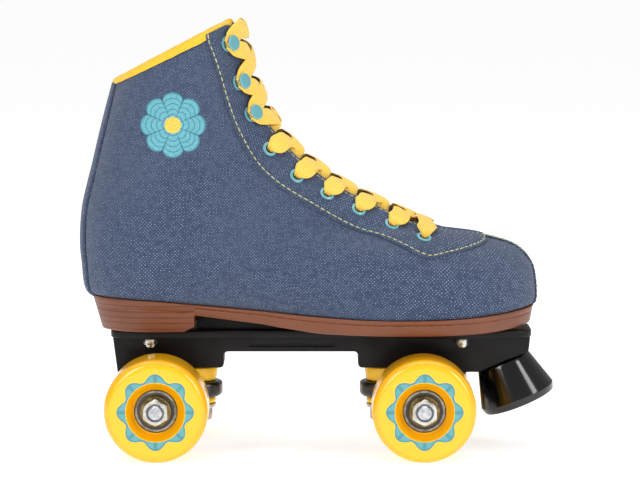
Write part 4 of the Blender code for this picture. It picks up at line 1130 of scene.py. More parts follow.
# %% Strips over the seams
def turn_near_back(level, half_width):
    front_x, front_z, back_x, back_z, _ = ring(level)
    full = at_x(BODY_PLAN, back_x + BACK_ROUND)[0]
    distance = BACK_ROUND * (1 - math.sqrt(max(0.0, 1 - (half_width / full) ** 2)))
    return turn_at_share(1 - distance / math.hypot(front_x - back_x, front_z - back_z))


def strip(name, low, high, half_width, lift, back, finish):
    """A raised strip up the middle of the toe or of the back, with turned edges."""
    across = 10
    rows, flat = [], []
    for i in range(61):
        level = low + (high - low) * i / 60
        row, marks_row = [], []
        for k in range(-across, across + 1):
            width = abs(k) / across * half_width
            turn = turn_near_back(level, width) if back else turn_at_width(level, width)
            if back and k == 0:
                turn = 1.0
            edge = min(1.0, (half_width - width) / (0.8 * MM))
            out = 0.05 * MM + lift * math.sqrt(1 - (1 - edge) ** 2)
            point = boot_point(level, math.copysign(turn, k) if k else turn, out)
            row.append(point)
            marks_row.append((math.copysign(width, k), point.z))
        rows.append(row)
        flat.append(marks_row)
    piece = add_piece(name, tidy_mesh(surface(rows, flat), 60, outward=False), finish)
    if (piece.data.polygons[0].normal).dot(boot_normal((low + high) / 2, 1.0 if back else 0.02)) < 0 and back:
        piece.data.flip_normals()
    thicken(piece, 0.3 * MM)
    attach(piece, "root")
    return piece


STAY_HALF_WIDTH = 13 * MM
TOE_TAPE_HALF_WIDTH = 2.6 * MM
strip("back_stay", 0.3, COLLAR - 0.05, STAY_HALF_WIDTH, 1.0 * MM, True, FACING_CANVAS)
strip("toe_tape", 0.25, FACING_TOE_LEVEL, TOE_TAPE_HALF_WIDTH, 0.9 * MM, False, DENIM)


def seam_line(low, high, width, back, sign):
    line = []
    for i in range(61):
        level = low + (high - low) * i / 60
        turn = turn_near_back(level, width) if back else turn_at_width(level, width)
        line.append((level, sign * turn))
    return line


stay_lines = [seam_line(0.35, COLLAR - 0.1, STAY_HALF_WIDTH - 1.6 * MM, True, s) for s in (-1, 1)]
stay_lines += [seam_line(0.35, COLLAR - 0.1, 1.2 * MM, True, s) for s in (-1, 1)]
stitch_lines("back_stay_stitches", stay_lines, 1.1 * MM, THREAD_BLUE, Pitch=0.0030)
toe_lines = [seam_line(0.3, FACING_TOE_LEVEL + 0.5, TOE_TAPE_HALF_WIDTH - 0.7 * MM, False, s) for s in (-1, 1)]
stitch_lines("toe_seam_stitches", toe_lines, 1.0 * MM, THREAD_GREEN, Pitch=0.0027, Stitch_Length=0.0023, Slant=0.5)

# %% [markdown]
# ## The collar's binding
#
# A yellow ribbed tape is folded over the raw edge of the collar. Its section is a soft inverted
# U that hugs the wall, swept along the collar from one facing round the back to the other.


# %% Sweep the binding
def sweep(name, frames, section, finish):
    """A closed section swept along frames of (point, sideways, up)."""
    rows, flat = [], []
    travelled = 0.0
    around = [0.0]
    for a, b in zip(section, section[1:]):
        around.append(around[-1] + math.hypot(b[0] - a[0], b[1] - a[1]))
    for i, (point, sideways, up) in enumerate(frames):
        if i:
            travelled += (point - frames[i - 1][0]).length
        rows.append([point + sideways * a + up * b for a, b in section])
        flat.append([(travelled, along) for along in around])
    piece = add_piece(name, tidy_mesh(surface(rows, flat, loop=True, ends=True), 60), finish)
    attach(piece, "root")
    return piece


BINDING_SECTION = softened(
    [
        (0.12, -1.7), (1.05, -1.6), (1.35, 0.3), (0.9, 1.9), (-0.4, 2.75), (-2.1, 2.75), (-3.4, 1.9),
        (-3.85, 0.3), (-3.55, -1.6), (-2.62, -1.7), (-2.62, 0.12), (0.12, 0.12), (0.12, -1.7),
    ],
    0.5,
    2,
)[:-1]
BINDING_SECTION = [(a * MM, b * MM) for a, b in BINDING_SECTION]
COLLAR_STEPS = 110
COLLAR_SAG = 0.25 * MM


def collar_frames(start_turn):
    frames = []
    for i in range(COLLAR_STEPS + 1):
        turn = start_turn + (2 - 2 * start_turn) * i / COLLAR_STEPS
        turn = turn - 2 if turn > 1 else turn
        rise = collar_rise(turn)
        sag = COLLAR_SAG * noise.noise(Vector((i * 0.35, 0, 0)))
        frames.append((boot_point(COLLAR, turn) + rise * sag, boot_normal(COLLAR, turn), rise))
    return frames


collar_line = collar_frames(throat_turn(COLLAR) + 0.035)
binding = sweep("collar_tape", collar_line, BINDING_SECTION, TAPE_YELLOW)
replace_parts(binding, "collar_binding")

# %% [markdown]
# ## The tongue
#
# The tongue is two layers of canvas with foam between, sewn together round the edge and along
# two channels. Cloth simulation gives that: the closed envelope is pinned where it is sewn and
# blown up by a little pressure, and the result is held close to its starting shape so that it
# stays clear of the upper.

# %% Sew and inflate the tongue
TONGUE_START = 4.8
TONGUE_END = COLLAR + 0.05
TONGUE_HALF_WIDTH = 24 * MM
TONGUE_MIDDLE = -(FABRIC + 1.3 * MM + 1.9 * MM)
TONGUE_SWELL = 1.5 * MM


def tongue_envelope():
    down, across = 60, 24
    rows, flat = [], []
    for i in range(down + 1):
        level = TONGUE_START + (TONGUE_END - TONGUE_START) * i / down
        half = turn_at_width(min(level, COLLAR), TONGUE_HALF_WIDTH)
        front, back = [], []
        for k in range(-across // 2, across // 2 + 1):
            share = 2 * k / across
            edge = min(1.0, (1 - abs(share)) * 4, i / 3, (down - i) / 3)
            puff = 0.9 * MM * math.sqrt(max(0.0, 1 - (1 - edge) ** 2))
            turn = half * share
            base = boot_point(min(level, COLLAR), turn, TONGUE_MIDDLE)
            base.z += max(0.0, level - COLLAR) * 34 * MM
            normal = boot_normal(min(level, COLLAR), turn)
            front.append((base + normal * puff, share * TONGUE_HALF_WIDTH))
            back.append((base - normal * puff, share * TONGUE_HALF_WIDTH))
        loop = front + back[-2:0:-1]
        rows.append([p for p, _ in loop])
        flat.append([(u, rows[-1][0].z) for _, u in loop])
    return rows, flat


def inflate(piece, pinned, pressure, cap):
    """Blows a closed envelope up for 20 frames, with pinned points, and caps how far it moves."""
    start = np.array([v.co[:] for v in piece.data.vertices])
    group = piece.vertex_groups.new(name="sewn")
    group.add(pinned, 1.0, "REPLACE")
    cloth = piece.modifiers.new("cloth", "CLOTH")
    cloth.settings.quality = 6
    cloth.settings.mass = 0.2
    cloth.settings.use_pressure = True
    cloth.settings.uniform_pressure_force = pressure
    cloth.settings.vertex_group_mass = "sewn"
    cloth.settings.effector_weights.gravity = 0
    for frame_number in range(1, 21):
        scene.frame_set(frame_number)
    swollen = evaluated(piece)
    end = np.array([v.co[:] for v in swollen.vertices])
    piece.modifiers.clear()
    moved = end - start
    length = np.linalg.norm(moved, axis=1, keepdims=True)
    held_back = start + moved * np.minimum(1.0, cap / np.maximum(length, 1e-9))
    piece.data.vertices.foreach_set("co", held_back.astype(np.float32).ravel())
    piece.data.update()
    piece.vertex_groups.clear()
    scene.frame_set(1)
    print(piece.name, "swelled by up to", round(float(length.max()) / MM, 2), "mm, held to", round(cap / MM, 2))


rows, flat = tongue_envelope()
tongue = add_piece("tongue_pad", tidy_mesh(surface(rows, flat, loop=True, ends=True), 80), LINING)
SEWN_AT = (-8 * MM, 8 * MM)
layer = tongue.data.uv_layers["cloth"].data
sewn = set()
for loop in tongue.data.loops:
    u = layer[loop.index].uv[0]
    if min(abs(u - c) for c in SEWN_AT) < 0.9 * MM or abs(u) > TONGUE_HALF_WIDTH * 0.98:
        sewn.add(loop.vertex_index)
inflate(tongue, sorted(sewn), 4.0, TONGUE_SWELL)
subdivide(tongue)
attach(tongue, "root")
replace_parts(tongue, "tongue")

# %% [markdown]
# ## Eyelets and hooks
#
# Six eyelets a side, then three speed hooks: studs with a dished base, a short neck and a cap
# that the lace goes behind. Each is turned once and then copied to its places by a node tree,
# stood up along the boot's normal.

# %% Place the eyelets and hooks
EYELETS = ((54.1, 49), (37.1, 55.6), (19.7, 63.6), (3.1, 71.8), (-12.9, 81.4), (-27.3, 95.7))
HOOKS = ((-37.4, 114), (-43.9, 130.9), (-49.6, 151.2))
EYELET_PLACES = [place_of(x, z) for x, z in EYELETS]
HOOK_PLACES = [place_of(x, z) for x, z in HOOKS]
FACE = FACING_TOP - 0.1 * MM


def on_both_sides(places, out):
    points, ups, alongs = [], [], []
    for sign in (-1, 1):
        for level, turn in places:
            points.append(boot_point(level, sign * turn, out))
            ups.append(boot_normal(level, sign * turn))
            alongs.append((boot_point(level, sign * (turn + 0.01)) - boot_point(level, sign * turn)).normalized())
    return seed(points, ups, alongs)


def in_mm(profile):
    return [(r * MM, z * MM) for r, z in profile]


def template(name, mesh):
    """A shape that the copies tree reads; it isn't itself shown."""
    return bpy.data.objects.new(name, mesh)


EYELET_PROFILE = softened(
    [(2.2, -0.6), (3.2, -0.1), (4.05, 0.1), (3.95, 0.8), (3.1, 1.15), (2.4, 0.8), (2.2, -0.6)], 0.3, 3
)
eyelet = template("eyelet", turned(in_mm(EYELET_PROFILE), 28))
eyelets = grow("eyelet_rings", on_both_sides(EYELET_PLACES, FACE), COPIES, TEAL, Copy=eyelet)
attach(eyelets, "root")
# Painted shade: each eyelet gets a black disc in its middle, standing in for the dark inside of a hole.
hole = template("hole", turned(in_mm([(0, 0.25), (2.4, 0.25), (2.4, -0.2), (0, -0.2)]), 20))
holes = grow("eyelet_holes", on_both_sides(EYELET_PLACES, FACE), COPIES, NYLON, Copy=hole)
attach(holes, "root")

HOOK_PROFILE = softened(
    [
        (0, 5.7), (3.4, 5.65), (4.1, 5.3), (4.1, 4.8), (3.4, 4.5), (1.9, 4.3), (1.65, 3.4), (1.7, 0.9),
        (2.1, 0.2), (3.2, 0.15), (3.45, 1.1), (3.85, 1.25), (4.25, 0.9), (4.3, 0.0), (0, 0.0),
    ],
    0.3,
    3,
)
hook = template("hook", turned(in_mm(HOOK_PROFILE), 32))
for number, place in enumerate(HOOK_PLACES, 1):
    for side, sign in SIDES.items():
        level, turn = place
        spot = seed([boot_point(level, sign * turn, FACE)], [boot_normal(level, sign * turn)], [UP])
        stud = grow(f"hook_{side}_{number}", spot, COPIES, TEAL, Copy=hook)
        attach(stud, "root")
        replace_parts(stud, f"lace_hook_{side}_{number}")

# %% [markdown]
# ## The lace
#
# A flat ribbed lace, about 10 mm wide. It starts as a bar across the lowest eyelets. Each end then
# comes up between the facings, crosses the tongue, lies over the other facing and dives into
# the next eyelet, where it gathers into pleats. At the hooks it comes from below, bends round
# the neck under the cap and goes back across. Each crossing is a ribbon along a smooth path of
# (level, turn, height) places, with a width that narrows where the lace is gathered.

# %% Ribbons
LACE_WIDTH = 9.6 * MM
LACE_THICKNESS = 1.1 * MM
ACROSS = 12
STRAND_STEPS = 7
LEAST_WIDTH = 1.6


def ribbon(path, widths, ups):
    """Rows of a flat closed ribbon along the path, wide as told, pleated where it is narrow."""
    rows, flat = [], []
    travelled = 0.0
    for i, point in enumerate(path):
        before, after = path[max(0, i - 1)], path[min(len(path) - 1, i + 1)]
        along = (after - before).normalized()
        up = ups[i]
        sideways = along.cross(up).normalized()
        up = sideways.cross(along).normalized()
        if i:
            travelled += (point - path[i - 1]).length
        gathered = 1 - widths[i] / LACE_WIDTH
        face, underside = [], []
        for k in range(ACROSS + 1):
            share = 2 * k / ACROSS - 1
            pleat = 0.9 * MM * gathered * math.cos(share * 3 * math.pi)
            crown = 0.35 * MM * (1 - share * share) * (1 - gathered)
            half = LACE_THICKNESS / 2 * math.sqrt(max(0.05, 1 - share**4))
            middle = point + sideways * (share * widths[i] / 2) + up * (pleat + crown)
            face.append((middle + up * half, share * LACE_WIDTH / 2))
            underside.append((middle - up * half, share * LACE_WIDTH / 2))
        loop = face + underside[::-1]
        rows.append([p for p, _ in loop])
        flat.append([(u, travelled) for _, u in loop])
    return tidy_mesh(surface(rows, flat, loop=True, ends=True), 70)


def strand(stops):
    """A ribbon through stops of (level, turn, height, width)."""
    path, widths, ups = [], [], []
    count = (len(stops) - 1) * STRAND_STEPS
    for i in range(count + 1):
        level, turn, out, width = between(stops, (len(stops) - 1) * i / count)
        level = min(level, COLLAR - 0.02)
        path.append(boot_point(level, turn, out * MM))
        ups.append(boot_normal(level, turn))
        widths.append(max(LEAST_WIDTH, width) * MM)
    return ribbon(path, widths, ups)


# %% Lace the boot
FULL = LACE_WIDTH / MM


def nearest_front(x, z):
    """The level where the boot's front line comes closest to a point of the side view."""
    target = Vector((x * MM, z * MM + PLATE_TOP))
    levels = [i / 50 for i in range(150, COLLAR * 50 + 1)]
    return min(levels, key=lambda v: (Vector(ring(v)[:2]) - target).length)


# Each stop is a row of the level across the front from it, its own level and its own turn.
STOPS = [(nearest_front(*spot), *place_of(*spot)) for spot in EYELETS + HOOKS]


def across(stop, share, sign):
    """A place on the line square to the gap: share 0 is the middle of the boot and 1 the stop."""
    middle_level, level, turn = between(STOPS, stop)
    return middle_level + (level - middle_level) * share * share, sign * turn * share


def edge_share(stop):
    _, level, turn = between(STOPS, stop)
    return throat_turn(level) / turn


def laced(sign, stops):
    """A ribbon through rows of (stop, share, height, width), with share below 0 on the far side."""
    return strand([(*across(stop, share, sign), out, width) for stop, share, out, width in stops])


def under_far_facing(stop, over):
    edge = edge_share(stop)
    return [
        (stop + 0.40, -edge - 0.18, -3.1, FULL * 0.85),
        (stop + 0.42, -edge * 0.92, -1.3, FULL * 0.9),
        (stop + 0.50, -edge * 0.45, 1.2 + over, FULL),
        (stop + 0.62, 0.12, 1.7 + over, FULL),
    ]


def into_eyelet(stop, sign, over):
    """From under the far facing, across the tongue and over this side's facing into its eyelet."""
    edge = edge_share(stop)
    return laced(sign, under_far_facing(stop - 1, over) + [
        (stop - 0.20, edge * 0.68, 2.3 + over * 0.5, FULL),
        (stop - 0.10, edge * 1.02, 3.5, FULL * 1.04),
        (stop - 0.05, 0.80, 3.9, FULL * 1.1),
        (stop - 0.02, 0.89, 3.8, FULL * 1.0),
        (stop, 0.96, 2.8, FULL * 0.64),
        (stop, 1.01, 1.0, 2.8),
        (stop, 1.01, 0.2, 2.2),
    ])


def around_neck(stop, way):
    """From beside a hook to behind its neck: way is 1 where the lace leaves upwards."""
    return [
        (stop + way * 0.30, edge_share(stop) * 1.0, 3.9, FULL),
        (stop + way * 0.17, 0.86, 4.1, FULL * 0.95),
        (stop + way * 0.07, 0.99, 4.1, FULL * 0.72),
        (stop + way * 0.01, 1.09, 4.0, FULL * 0.42),
    ]


def onto_hook(stop, sign, over):
    """Across the gap from the far hook below, or from under the facing, to this side's hook."""
    if stop == len(EYELETS):
        start = under_far_facing(stop - 1, over)
    else:
        start = [(a, -b, c, d) for a, b, c, d in around_neck(stop - 1, 1)[::-1]]
        start.append((stop - 0.58, -0.25, 2.6 + over, FULL))
    return laced(sign, start + [(stop - 0.42, 0.25, 2.9 + over, FULL)] + around_neck(stop, -1))


strands = []
bar = [
    (0.0, 1.01, 0.2, 2.2), (0.0, 1.0, 1.0, 2.6), (0.02, 0.94, 2.9, FULL * 0.55),
    (0.06, 0.85, 4.0, FULL * 0.92), (0.10, 0.72, 4.3, FULL * 1.08), (0.12, 0.45, 3.9, FULL),
    (0.13, 0.15, 3.2, FULL),
]
strands.append(laced(1, bar + [(a, -b, c, d) for a, b, c, d in bar[::-1]]))
for stop in range(1, len(EYELETS)):
    for sign in (-1, 1):
        strands.append(into_eyelet(stop, sign, 1.3 if sign > 0 else 0.0))
for stop in range(len(EYELETS), len(STOPS)):
    for sign in (-1, 1):
        strands.append(onto_hook(stop, sign, 1.3 if sign > 0 else 0.0))
top_stop = len(STOPS) - 1
top = [(a, b, c, d) for a, b, c, d in around_neck(top_stop, 1)[::-1]] + [(top_stop + 0.24, 0.3, 3.6, FULL)]
strands.append(laced(1, top + [(a, -b, c, d) for a, b, c, d in top[::-1]]))
lace = add_piece("lace_ribbon", joined(strands), LACE_YELLOW)
lace.data.shade_smooth()
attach(lace, "root")
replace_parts(lace, "lace")
print("lace strands:", len(strands), "faces:", len(lace.data.polygons))

# %% [markdown]
# ## The ankle badge
#
# A rosette with eight rounded petals is printed on the outer side of the ankle. It is a thin
# disc with a petalled edge, laid on the canvas point by point. Its lines follow the petals,
# because the finish draws them at steps of distance from that same edge.

# %% A petalled pattern
PETALS = 8
PETAL_POWER = 0.6


def petal_wave(tree):
    """The distance from the flat coordinate's middle, and a wave that is 1 along each petal."""
    x, y = flat_parts(tree)
    radius = maths(tree, "SQRT", maths(tree, "ADD", times(tree, x, x), times(tree, y, y)))
    angle = maths(tree, "ARCTAN2", y, x)
    return radius, maths(tree, "ABSOLUTE", maths(tree, "COSINE", times(tree, angle, PETALS / 2)))


def petal_finish(name, base, line, heart, edge_radius, petal_depth, heart_radius, step):
    finish, tree, shader = plain_finish(name, base, 0.62, Specular_IOR_Level=0.35)
    radius, wave = petal_wave(tree)
    swell = times(tree, maths(tree, "POWER", wave, PETAL_POWER), petal_depth)
    edge = maths(tree, "ADD", swell, edge_radius - petal_depth)
    share = maths(tree, "DIVIDE", radius, edge)
    saw = maths(tree, "FRACT", times(tree, share, edge_radius / step))
    drawn = ramp(tree, maths(tree, "ABSOLUTE", maths(tree, "SUBTRACT", saw, 0.5)), 0.36, 0.46)
    shown = blend_colour(tree, times(tree, drawn, 0.75), base, line)
    valley = ramp(tree, wave, 0.22, 0.02)
    shown = blend_colour(tree, times(tree, valley, 0.8), shown, line)
    centre = ramp(tree, radius, heart_radius, heart_radius * 0.86)
    shown = blend_colour(tree, centre, shown, heart)
    place = local_place(tree)
    weave = clouds(tree, place, 1100.0, 1.0)
    soaked = ramp(tree, weave, 0.35, 0.75, 0.0, 0.35)
    paint(tree, shader, blend_colour(tree, soaked, shown, colour(64, 104, 128)))
    bump(tree, shader, weave, 0.0002, 0.6)
    return finish


BADGE = petal_finish(
    "badge print", colour(104, 176, 188), colour(38, 98, 122), colour(240, 200, 70), 0.0172, 0.0032, 0.0046, 0.0028
)
BADGE_CENTRE = (-76.4, 109.7)
BADGE_RADIUS = 17.2
BADGE_PETAL = 3.2


def badge():
    rows, flat = [], []
    steps, rings = 160, 9
    for r in range(rings + 1):
        row, marks_row = [], []
        for k in range(steps + 1):
            angle = 2 * math.pi * k / steps
            edge = BADGE_RADIUS - BADGE_PETAL + BADGE_PETAL * abs(math.cos(PETALS / 2 * angle)) ** PETAL_POWER
            reach = edge * r / rings
            x, z = reach * math.cos(angle), reach * math.sin(angle)
            level, turn = place_of(BADGE_CENTRE[0] + x, BADGE_CENTRE[1] + z)
            out = 0.42 * MM if r < rings else 0.12 * MM
            row.append(boot_point(level, -turn, out))
            marks_row.append((x * MM, z * MM))
        rows.append(row)
        flat.append(marks_row)
    mesh = tidy_mesh(surface(rows, flat), 80, outward=False)
    if mesh.polygons[len(mesh.polygons) // 2].normal.y > 0:
        mesh.flip_normals()
    piece = add_piece("ankle_badge", mesh, BADGE)
    thicken(piece, 0.2 * MM)
    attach(piece, "root")
    return piece


badge()

# %% [markdown]
# ## Sole, insole board and footbed
#
# The sole is one brown piece: a stacked heel, an arch that thins towards the waist, and a
# forefoot as long as the boot. Its section at each station along x is a small rounded shape
# with a proud welt along the top. The footbed inside is foam with a raised rim and a heel cup.


# %% Sections along the sole
def footprint(x, inset, side):
    """The half width of the boot's seam at x, less an inset."""
    front_x, _, back_x, _, _ = ring(0)
    turn = side * turn_at_share((front_x - inset - x) / (front_x - back_x - 2 * inset))
    point = bare_point(0, turn)
    full = abs(point.y - swing_at(point.x))
    return swing_at(x) + side * max(0.0, full - inset * min(1.0, full / (10 * MM)))


def stations(start, end, count, extra=()):
    places = [start + (end - start) * (1 - math.cos(math.pi * i / count)) / 2 for i in range(count + 1)]
    return sorted([x for x in places if all(abs(x - e) > 1 * MM for e in extra)] + list(extra))


HEEL_BREAST_X = -66 * MM
HEEL_CHAMFER, HEEL_CHAMFER_SLOPE = 5.9 * MM, 0.46
SOLE_MARGIN = 1.8 * MM


def sole_underside(x):
    if x < HEEL_BREAST_X:
        return PLATE_TOP + GAP + HEEL_CHAMFER_SLOPE * max(0, x - HEEL_BREAST_X + HEEL_CHAMFER)
    return PLATE_TOP + at_x(SOLE_UNDERSIDE, x)[0]


def sole_piece():
    front_x, _, back_x, _, _ = ring(0)
    front_x, back_x = front_x + SOLE_MARGIN, back_x - SOLE_MARGIN
    breast = (HEEL_BREAST_X - HEEL_CHAMFER, HEEL_BREAST_X - 0.15 * MM, HEEL_BREAST_X + 0.15 * MM)
    # The share of the height, and how far in the side is there: underside, wall, groove, welt.
    wall = ((0.0, 1.3), (0.04, 0.55), (0.12, 0.1), (0.5, 0.0), (0.66, 0.05), (0.70, 0.45), (0.74, 0.05),
            (0.80, -0.35), (0.93, -0.4), (0.985, -0.1), (1.0, 0.5))
    rows = []
    for x in stations(back_x, front_x, 120, breast):
        low, high = sole_underside(x), sole_top(x)
        narrow = 5.0 * MM if x < HEEL_BREAST_X else 1.6 * MM
        outline = []
        for side in (-1, 1):
            column = []
            for share, tuck in wall:
                squeeze = 1 - narrow * (1 - share) / (40 * MM)
                shift = x
                if x < back_x + BACK_ROUND:
                    shift = x + narrow * (1 - share) * (1 - (x - back_x) / BACK_ROUND)
                if x > front_x - BACK_ROUND:
                    shift = x - narrow * (1 - share) * (1 - (front_x - x) / BACK_ROUND)
                half = footprint(x, -SOLE_MARGIN, side) - swing_at(x)
                half = (half - side * min(abs(half), tuck * MM)) * squeeze
                column.append(Vector((shift, swing_at(x) + half, low + (high - low) * share)))
            outline += column if side > 0 else column[::-1]
        rows.append(outline)
    mesh = tidy_mesh(surface(rows, loop=True, ends=True), 38)
    piece = add_piece("brown_sole", mesh, SOLE_BROWN)
    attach(piece, "root")
    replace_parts(piece, "sole")
    return piece


sole_piece()
repaint(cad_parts["insole_board"], BOARD)


# %% The footbed
def footbed_piece():
    front_x, _, back_x, _, _ = ring(0)
    inset = FABRIC + 1.7 * MM
    start, end = back_x + inset, front_x - inset
    bottom_lift = 3 * GAP + 2.0 * MM
    rows, flat = [], []
    across = 12
    for x in stations(start, end, 70):
        low = sole_top(x) + bottom_lift
        arch = math.exp(-(((x + 0.02) / 0.035) ** 2))
        cup = math.exp(-(((x - start) / 0.03) ** 2))
        top, base = [], []
        outer, inner = footprint(x, inset, -1), footprint(x, inset, 1)
        for k in range(across + 1):
            share = k / across
            y = outer + (inner - outer) * share
            from_edge = min(1.0, min(share, 1 - share) * 6)
            rim = 1.2 * MM * (1 - from_edge) * (cup + 0.4) + 1.6 * MM * arch * share**3
            thick = 3.9 * MM * (0.55 + 0.45 * math.sqrt(max(0.0, 1 - (1 - from_edge) ** 2)))
            top.append((Vector((x, y, low + thick + rim)), (x, y)))
            base.append((Vector((x, y, low + 0.05 * MM)), (x, y)))
        loop = top + base[::-1]
        rows.append([p for p, _ in loop])
        flat.append([uv for _, uv in loop])
    mesh = tidy_mesh(surface(rows, flat, loop=True, ends=True), 60)
    piece = add_piece("footbed_pad", mesh, LINING)
    subdivide(piece)
    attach(piece, "root")
    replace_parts(piece, "footbed")
    return piece


footbed_piece()

# %% [markdown]
# ## The plate
#
# The plate is one nylon moulding: a flat flange under the sole, a deep core along the middle,
# a boss round each kingpin and a lug for each pivot. Each block is made from its outline,
# has its edges rounded by a bevel, and is joined to the others, then the holes are cut.

# %% Outlines of the plate
WEB_DEPTH, BOSS_DEPTH = 12 * MM, 20.7 * MM
FLANGE_DEPTH = 4 * MM
BOLT_RADIUS = 2.0 * MM
RIB_BACK, RIB_FRONT = -65.7 * MM, -14 * MM
RIB_HALF_WIDTH = 11 * MM
RIB_OVERLAP = 1 * MM
POCKET_X, POCKET_DEPTHS = (-38 * MM, 8 * MM), (5.6 * MM, 9.6 * MM)
PIVOTS = {"rear": Vector((-100.9, 0, 40.769)) * MM, "front": Vector((70.0, 0, 40.769)) * MM}
RING_MIDDLE_Z = 30.669 * MM
LUG_DEPTH = PLATE_TOP - PIVOTS["rear"].z + 5.4 * MM
CORE_HALF_WIDTH = 13 * MM
STOP_TILT = math.radians(22.3)
STOP_SEAT = Vector((97.8 * MM, 0, PLATE_TOP - 17.7 * MM))
STOP_DOWN = Vector((math.sin(STOP_TILT), 0, -math.cos(STOP_TILT)))
BOLTS = [(x * MM, y * MM) for x in (-89.7, 75.3) for y in (-18, 18)]


def block(name, outline, low, high, rounding, upright_block=False, segments=3):
    """An outline raised from low to high and bevelled. An upright one lies in the side view."""
    bm = bmesh.new()
    bottom = [bm.verts.new((x, y, low)) for x, y in outline]
    face = bm.faces.new(bottom)
    raised = bmesh.ops.extrude_face_region(bm, geom=[face])
    top = [v for v in raised["geom"] if isinstance(v, bmesh.types.BMVert)]
    bmesh.ops.translate(bm, verts=top, vec=(0, 0, high - low))
    bmesh.ops.recalc_face_normals(bm, faces=bm.faces)
    mesh = bpy.data.meshes.new(name)
    bm.to_mesh(mesh)
    bm.free()
    if upright_block:
        mesh.transform(Matrix.Rotation(math.pi / 2, 4, "X"))
    made = add_piece(name, mesh)
    rounded_edges = made.modifiers.new("rounding", "BEVEL")
    rounded_edges.width = rounding
    rounded_edges.segments = segments
    rounded_edges.limit_method = "ANGLE"
    rounded_edges.angle_limit = math.radians(25)
    return apply_modifiers(made)


def merge(base, others, operation="UNION"):
    """Joins or cuts solids one after another, and removes the tools."""
    for other in others:
        step = base.modifiers.new(operation.lower(), "BOOLEAN")
        step.operation = operation
        step.object = other
        step.solver = "EXACT"
        apply_modifiers(base)
        bpy.data.objects.remove(other)
    return base


def rod(radius, start, end, steps=28, end_radius=None, rounding=0.0):
    """A solid rod or cone from a start point to an end point."""
    start, end = Vector(start), Vector(end)
    length = (end - start).length
    profile = [(0, 0), (radius, 0), (radius if end_radius is None else end_radius, length), (0, length)]
    if rounding:
        profile = softened(profile, rounding, 4)
    return add_piece("rod", placed(turned(profile, steps), aimed(end - start, start)))


def mirrored_plan(half_plan):
    return half_plan + [(x, -y) for x, y in half_plan[::-1]]


# %% Mould the plate
kingpin_x = {end: KINGPINS[end].x for end in ENDS}
lug_x = {"rear": PIVOTS["rear"].x - 6 * MM, "front": PIVOTS["front"].x + 6 * MM}
REAR_X, FRONT_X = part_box("baseplate")[0].x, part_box("baseplate")[1].x

flange_plan = softened(
    mirrored_plan([
        (REAR_X, -18 * MM), (-89.7 * MM, -24 * MM), (kingpin_x["rear"] + 16 * MM, -17 * MM),
        (kingpin_x["front"] - 16 * MM, -17 * MM), (75.3 * MM, -24 * MM), (FRONT_X, -16.8 * MM),
    ]) + [(REAR_X, -18 * MM)],
    9 * MM,
)[:-1]
plate = block("nylon_plate", flange_plan, PLATE_TOP - FLANGE_DEPTH, PLATE_TOP, 0.7 * MM)


def side_block(points, half_width, rounding):
    """A bevelled block from a side view given as x and depth under the plate's top."""
    outline = [(x, PLATE_TOP - depth) for x, depth in points]
    return block("side_block", outline, -half_width, half_width, rounding, upright_block=True)


along_stop = Vector((math.cos(STOP_TILT), 0, math.sin(STOP_TILT)))
seat_face = STOP_SEAT - STOP_DOWN * GAP - UP * PLATE_TOP
seat_rear, seat_front = seat_face - along_stop * 14.7 * MM, seat_face + along_stop * 14.2 * MM
VAULT = WEB_DEPTH + 2 * MM
BOSS = 14.5 * MM
half_core = [(REAR_X + 0.6 * MM, 1.0 * MM), (lug_x["rear"], LUG_DEPTH), (lug_x["rear"] + 12.5 * MM, LUG_DEPTH)]
for end in ENDS:
    x = kingpin_x[end]
    depths = (VAULT, BOSS_DEPTH, BOSS_DEPTH, WEB_DEPTH)
    if end == "front":
        depths = depths[::-1]
    if end == "rear":
        half_core.append((lug_x["rear"] + 12.5 * MM, VAULT))
    half_core += list(zip((x - BOSS, x - BOSS, x + BOSS, x + BOSS), depths))
half_core += [
    (lug_x["front"] - 12.5 * MM, VAULT), (lug_x["front"] - 12.5 * MM, LUG_DEPTH), (lug_x["front"], LUG_DEPTH),
    (lug_x["front"] + 1 * MM, -seat_rear.z), (seat_rear.x, -seat_rear.z), (seat_front.x, -seat_front.z),
    (FRONT_X - 0.4 * MM, 1.0 * MM), (REAR_X + 0.6 * MM, 1.0 * MM),
]
blocks = [side_block(softened(half_core, 2.4 * MM, 4)[:-1], CORE_HALF_WIDTH, 0.8 * MM)]
# A low black rib fills most of the gap under the arch: a dark piece that stands in for the shade there.
arch_shade_rib_x = (RIB_BACK, -50 * MM, -40 * MM, -30 * MM, -20 * MM, RIB_FRONT)
shank = [(x, PLATE_TOP - sole_underside(x) + 0.7 * MM) for x in arch_shade_rib_x]
shank = [(RIB_BACK, RIB_OVERLAP)] + shank + [(RIB_FRONT, RIB_OVERLAP)]
blocks.append(side_block(shank, RIB_HALF_WIDTH, 0.4 * MM))
merge(plate, blocks)
print("plate blocks joined:", len(plate.data.polygons), "faces")

# %% Cut the plate's holes and recesses
cuts = []
for x, y in BOLTS:
    cuts.append(rod(2.3 * MM, (x, y, PLATE_TOP - 30 * MM), (x, y, PLATE_TOP + 5 * MM), 20))
for end, outwards in (("rear", -1), ("front", 1)):
    ring_middle = Vector((kingpin_x[end], 0, RING_MIDDLE_Z))
    way = (PIVOTS[end] - ring_middle).normalized()
    cuts.append(rod(4.8 * MM, ring_middle, (kingpin_x[end], 0, PLATE_TOP - BOSS_DEPTH + 9.3 * MM), 28))
    cuts.append(rod(6.4 * MM, PIVOTS[end] - way * 22 * MM, PIVOTS[end] + way * 5.7 * MM, 32))
cuts.append(rod(4.3 * MM, STOP_SEAT + STOP_DOWN * 5 * MM, STOP_SEAT - STOP_DOWN * 14.3 * MM, 28))
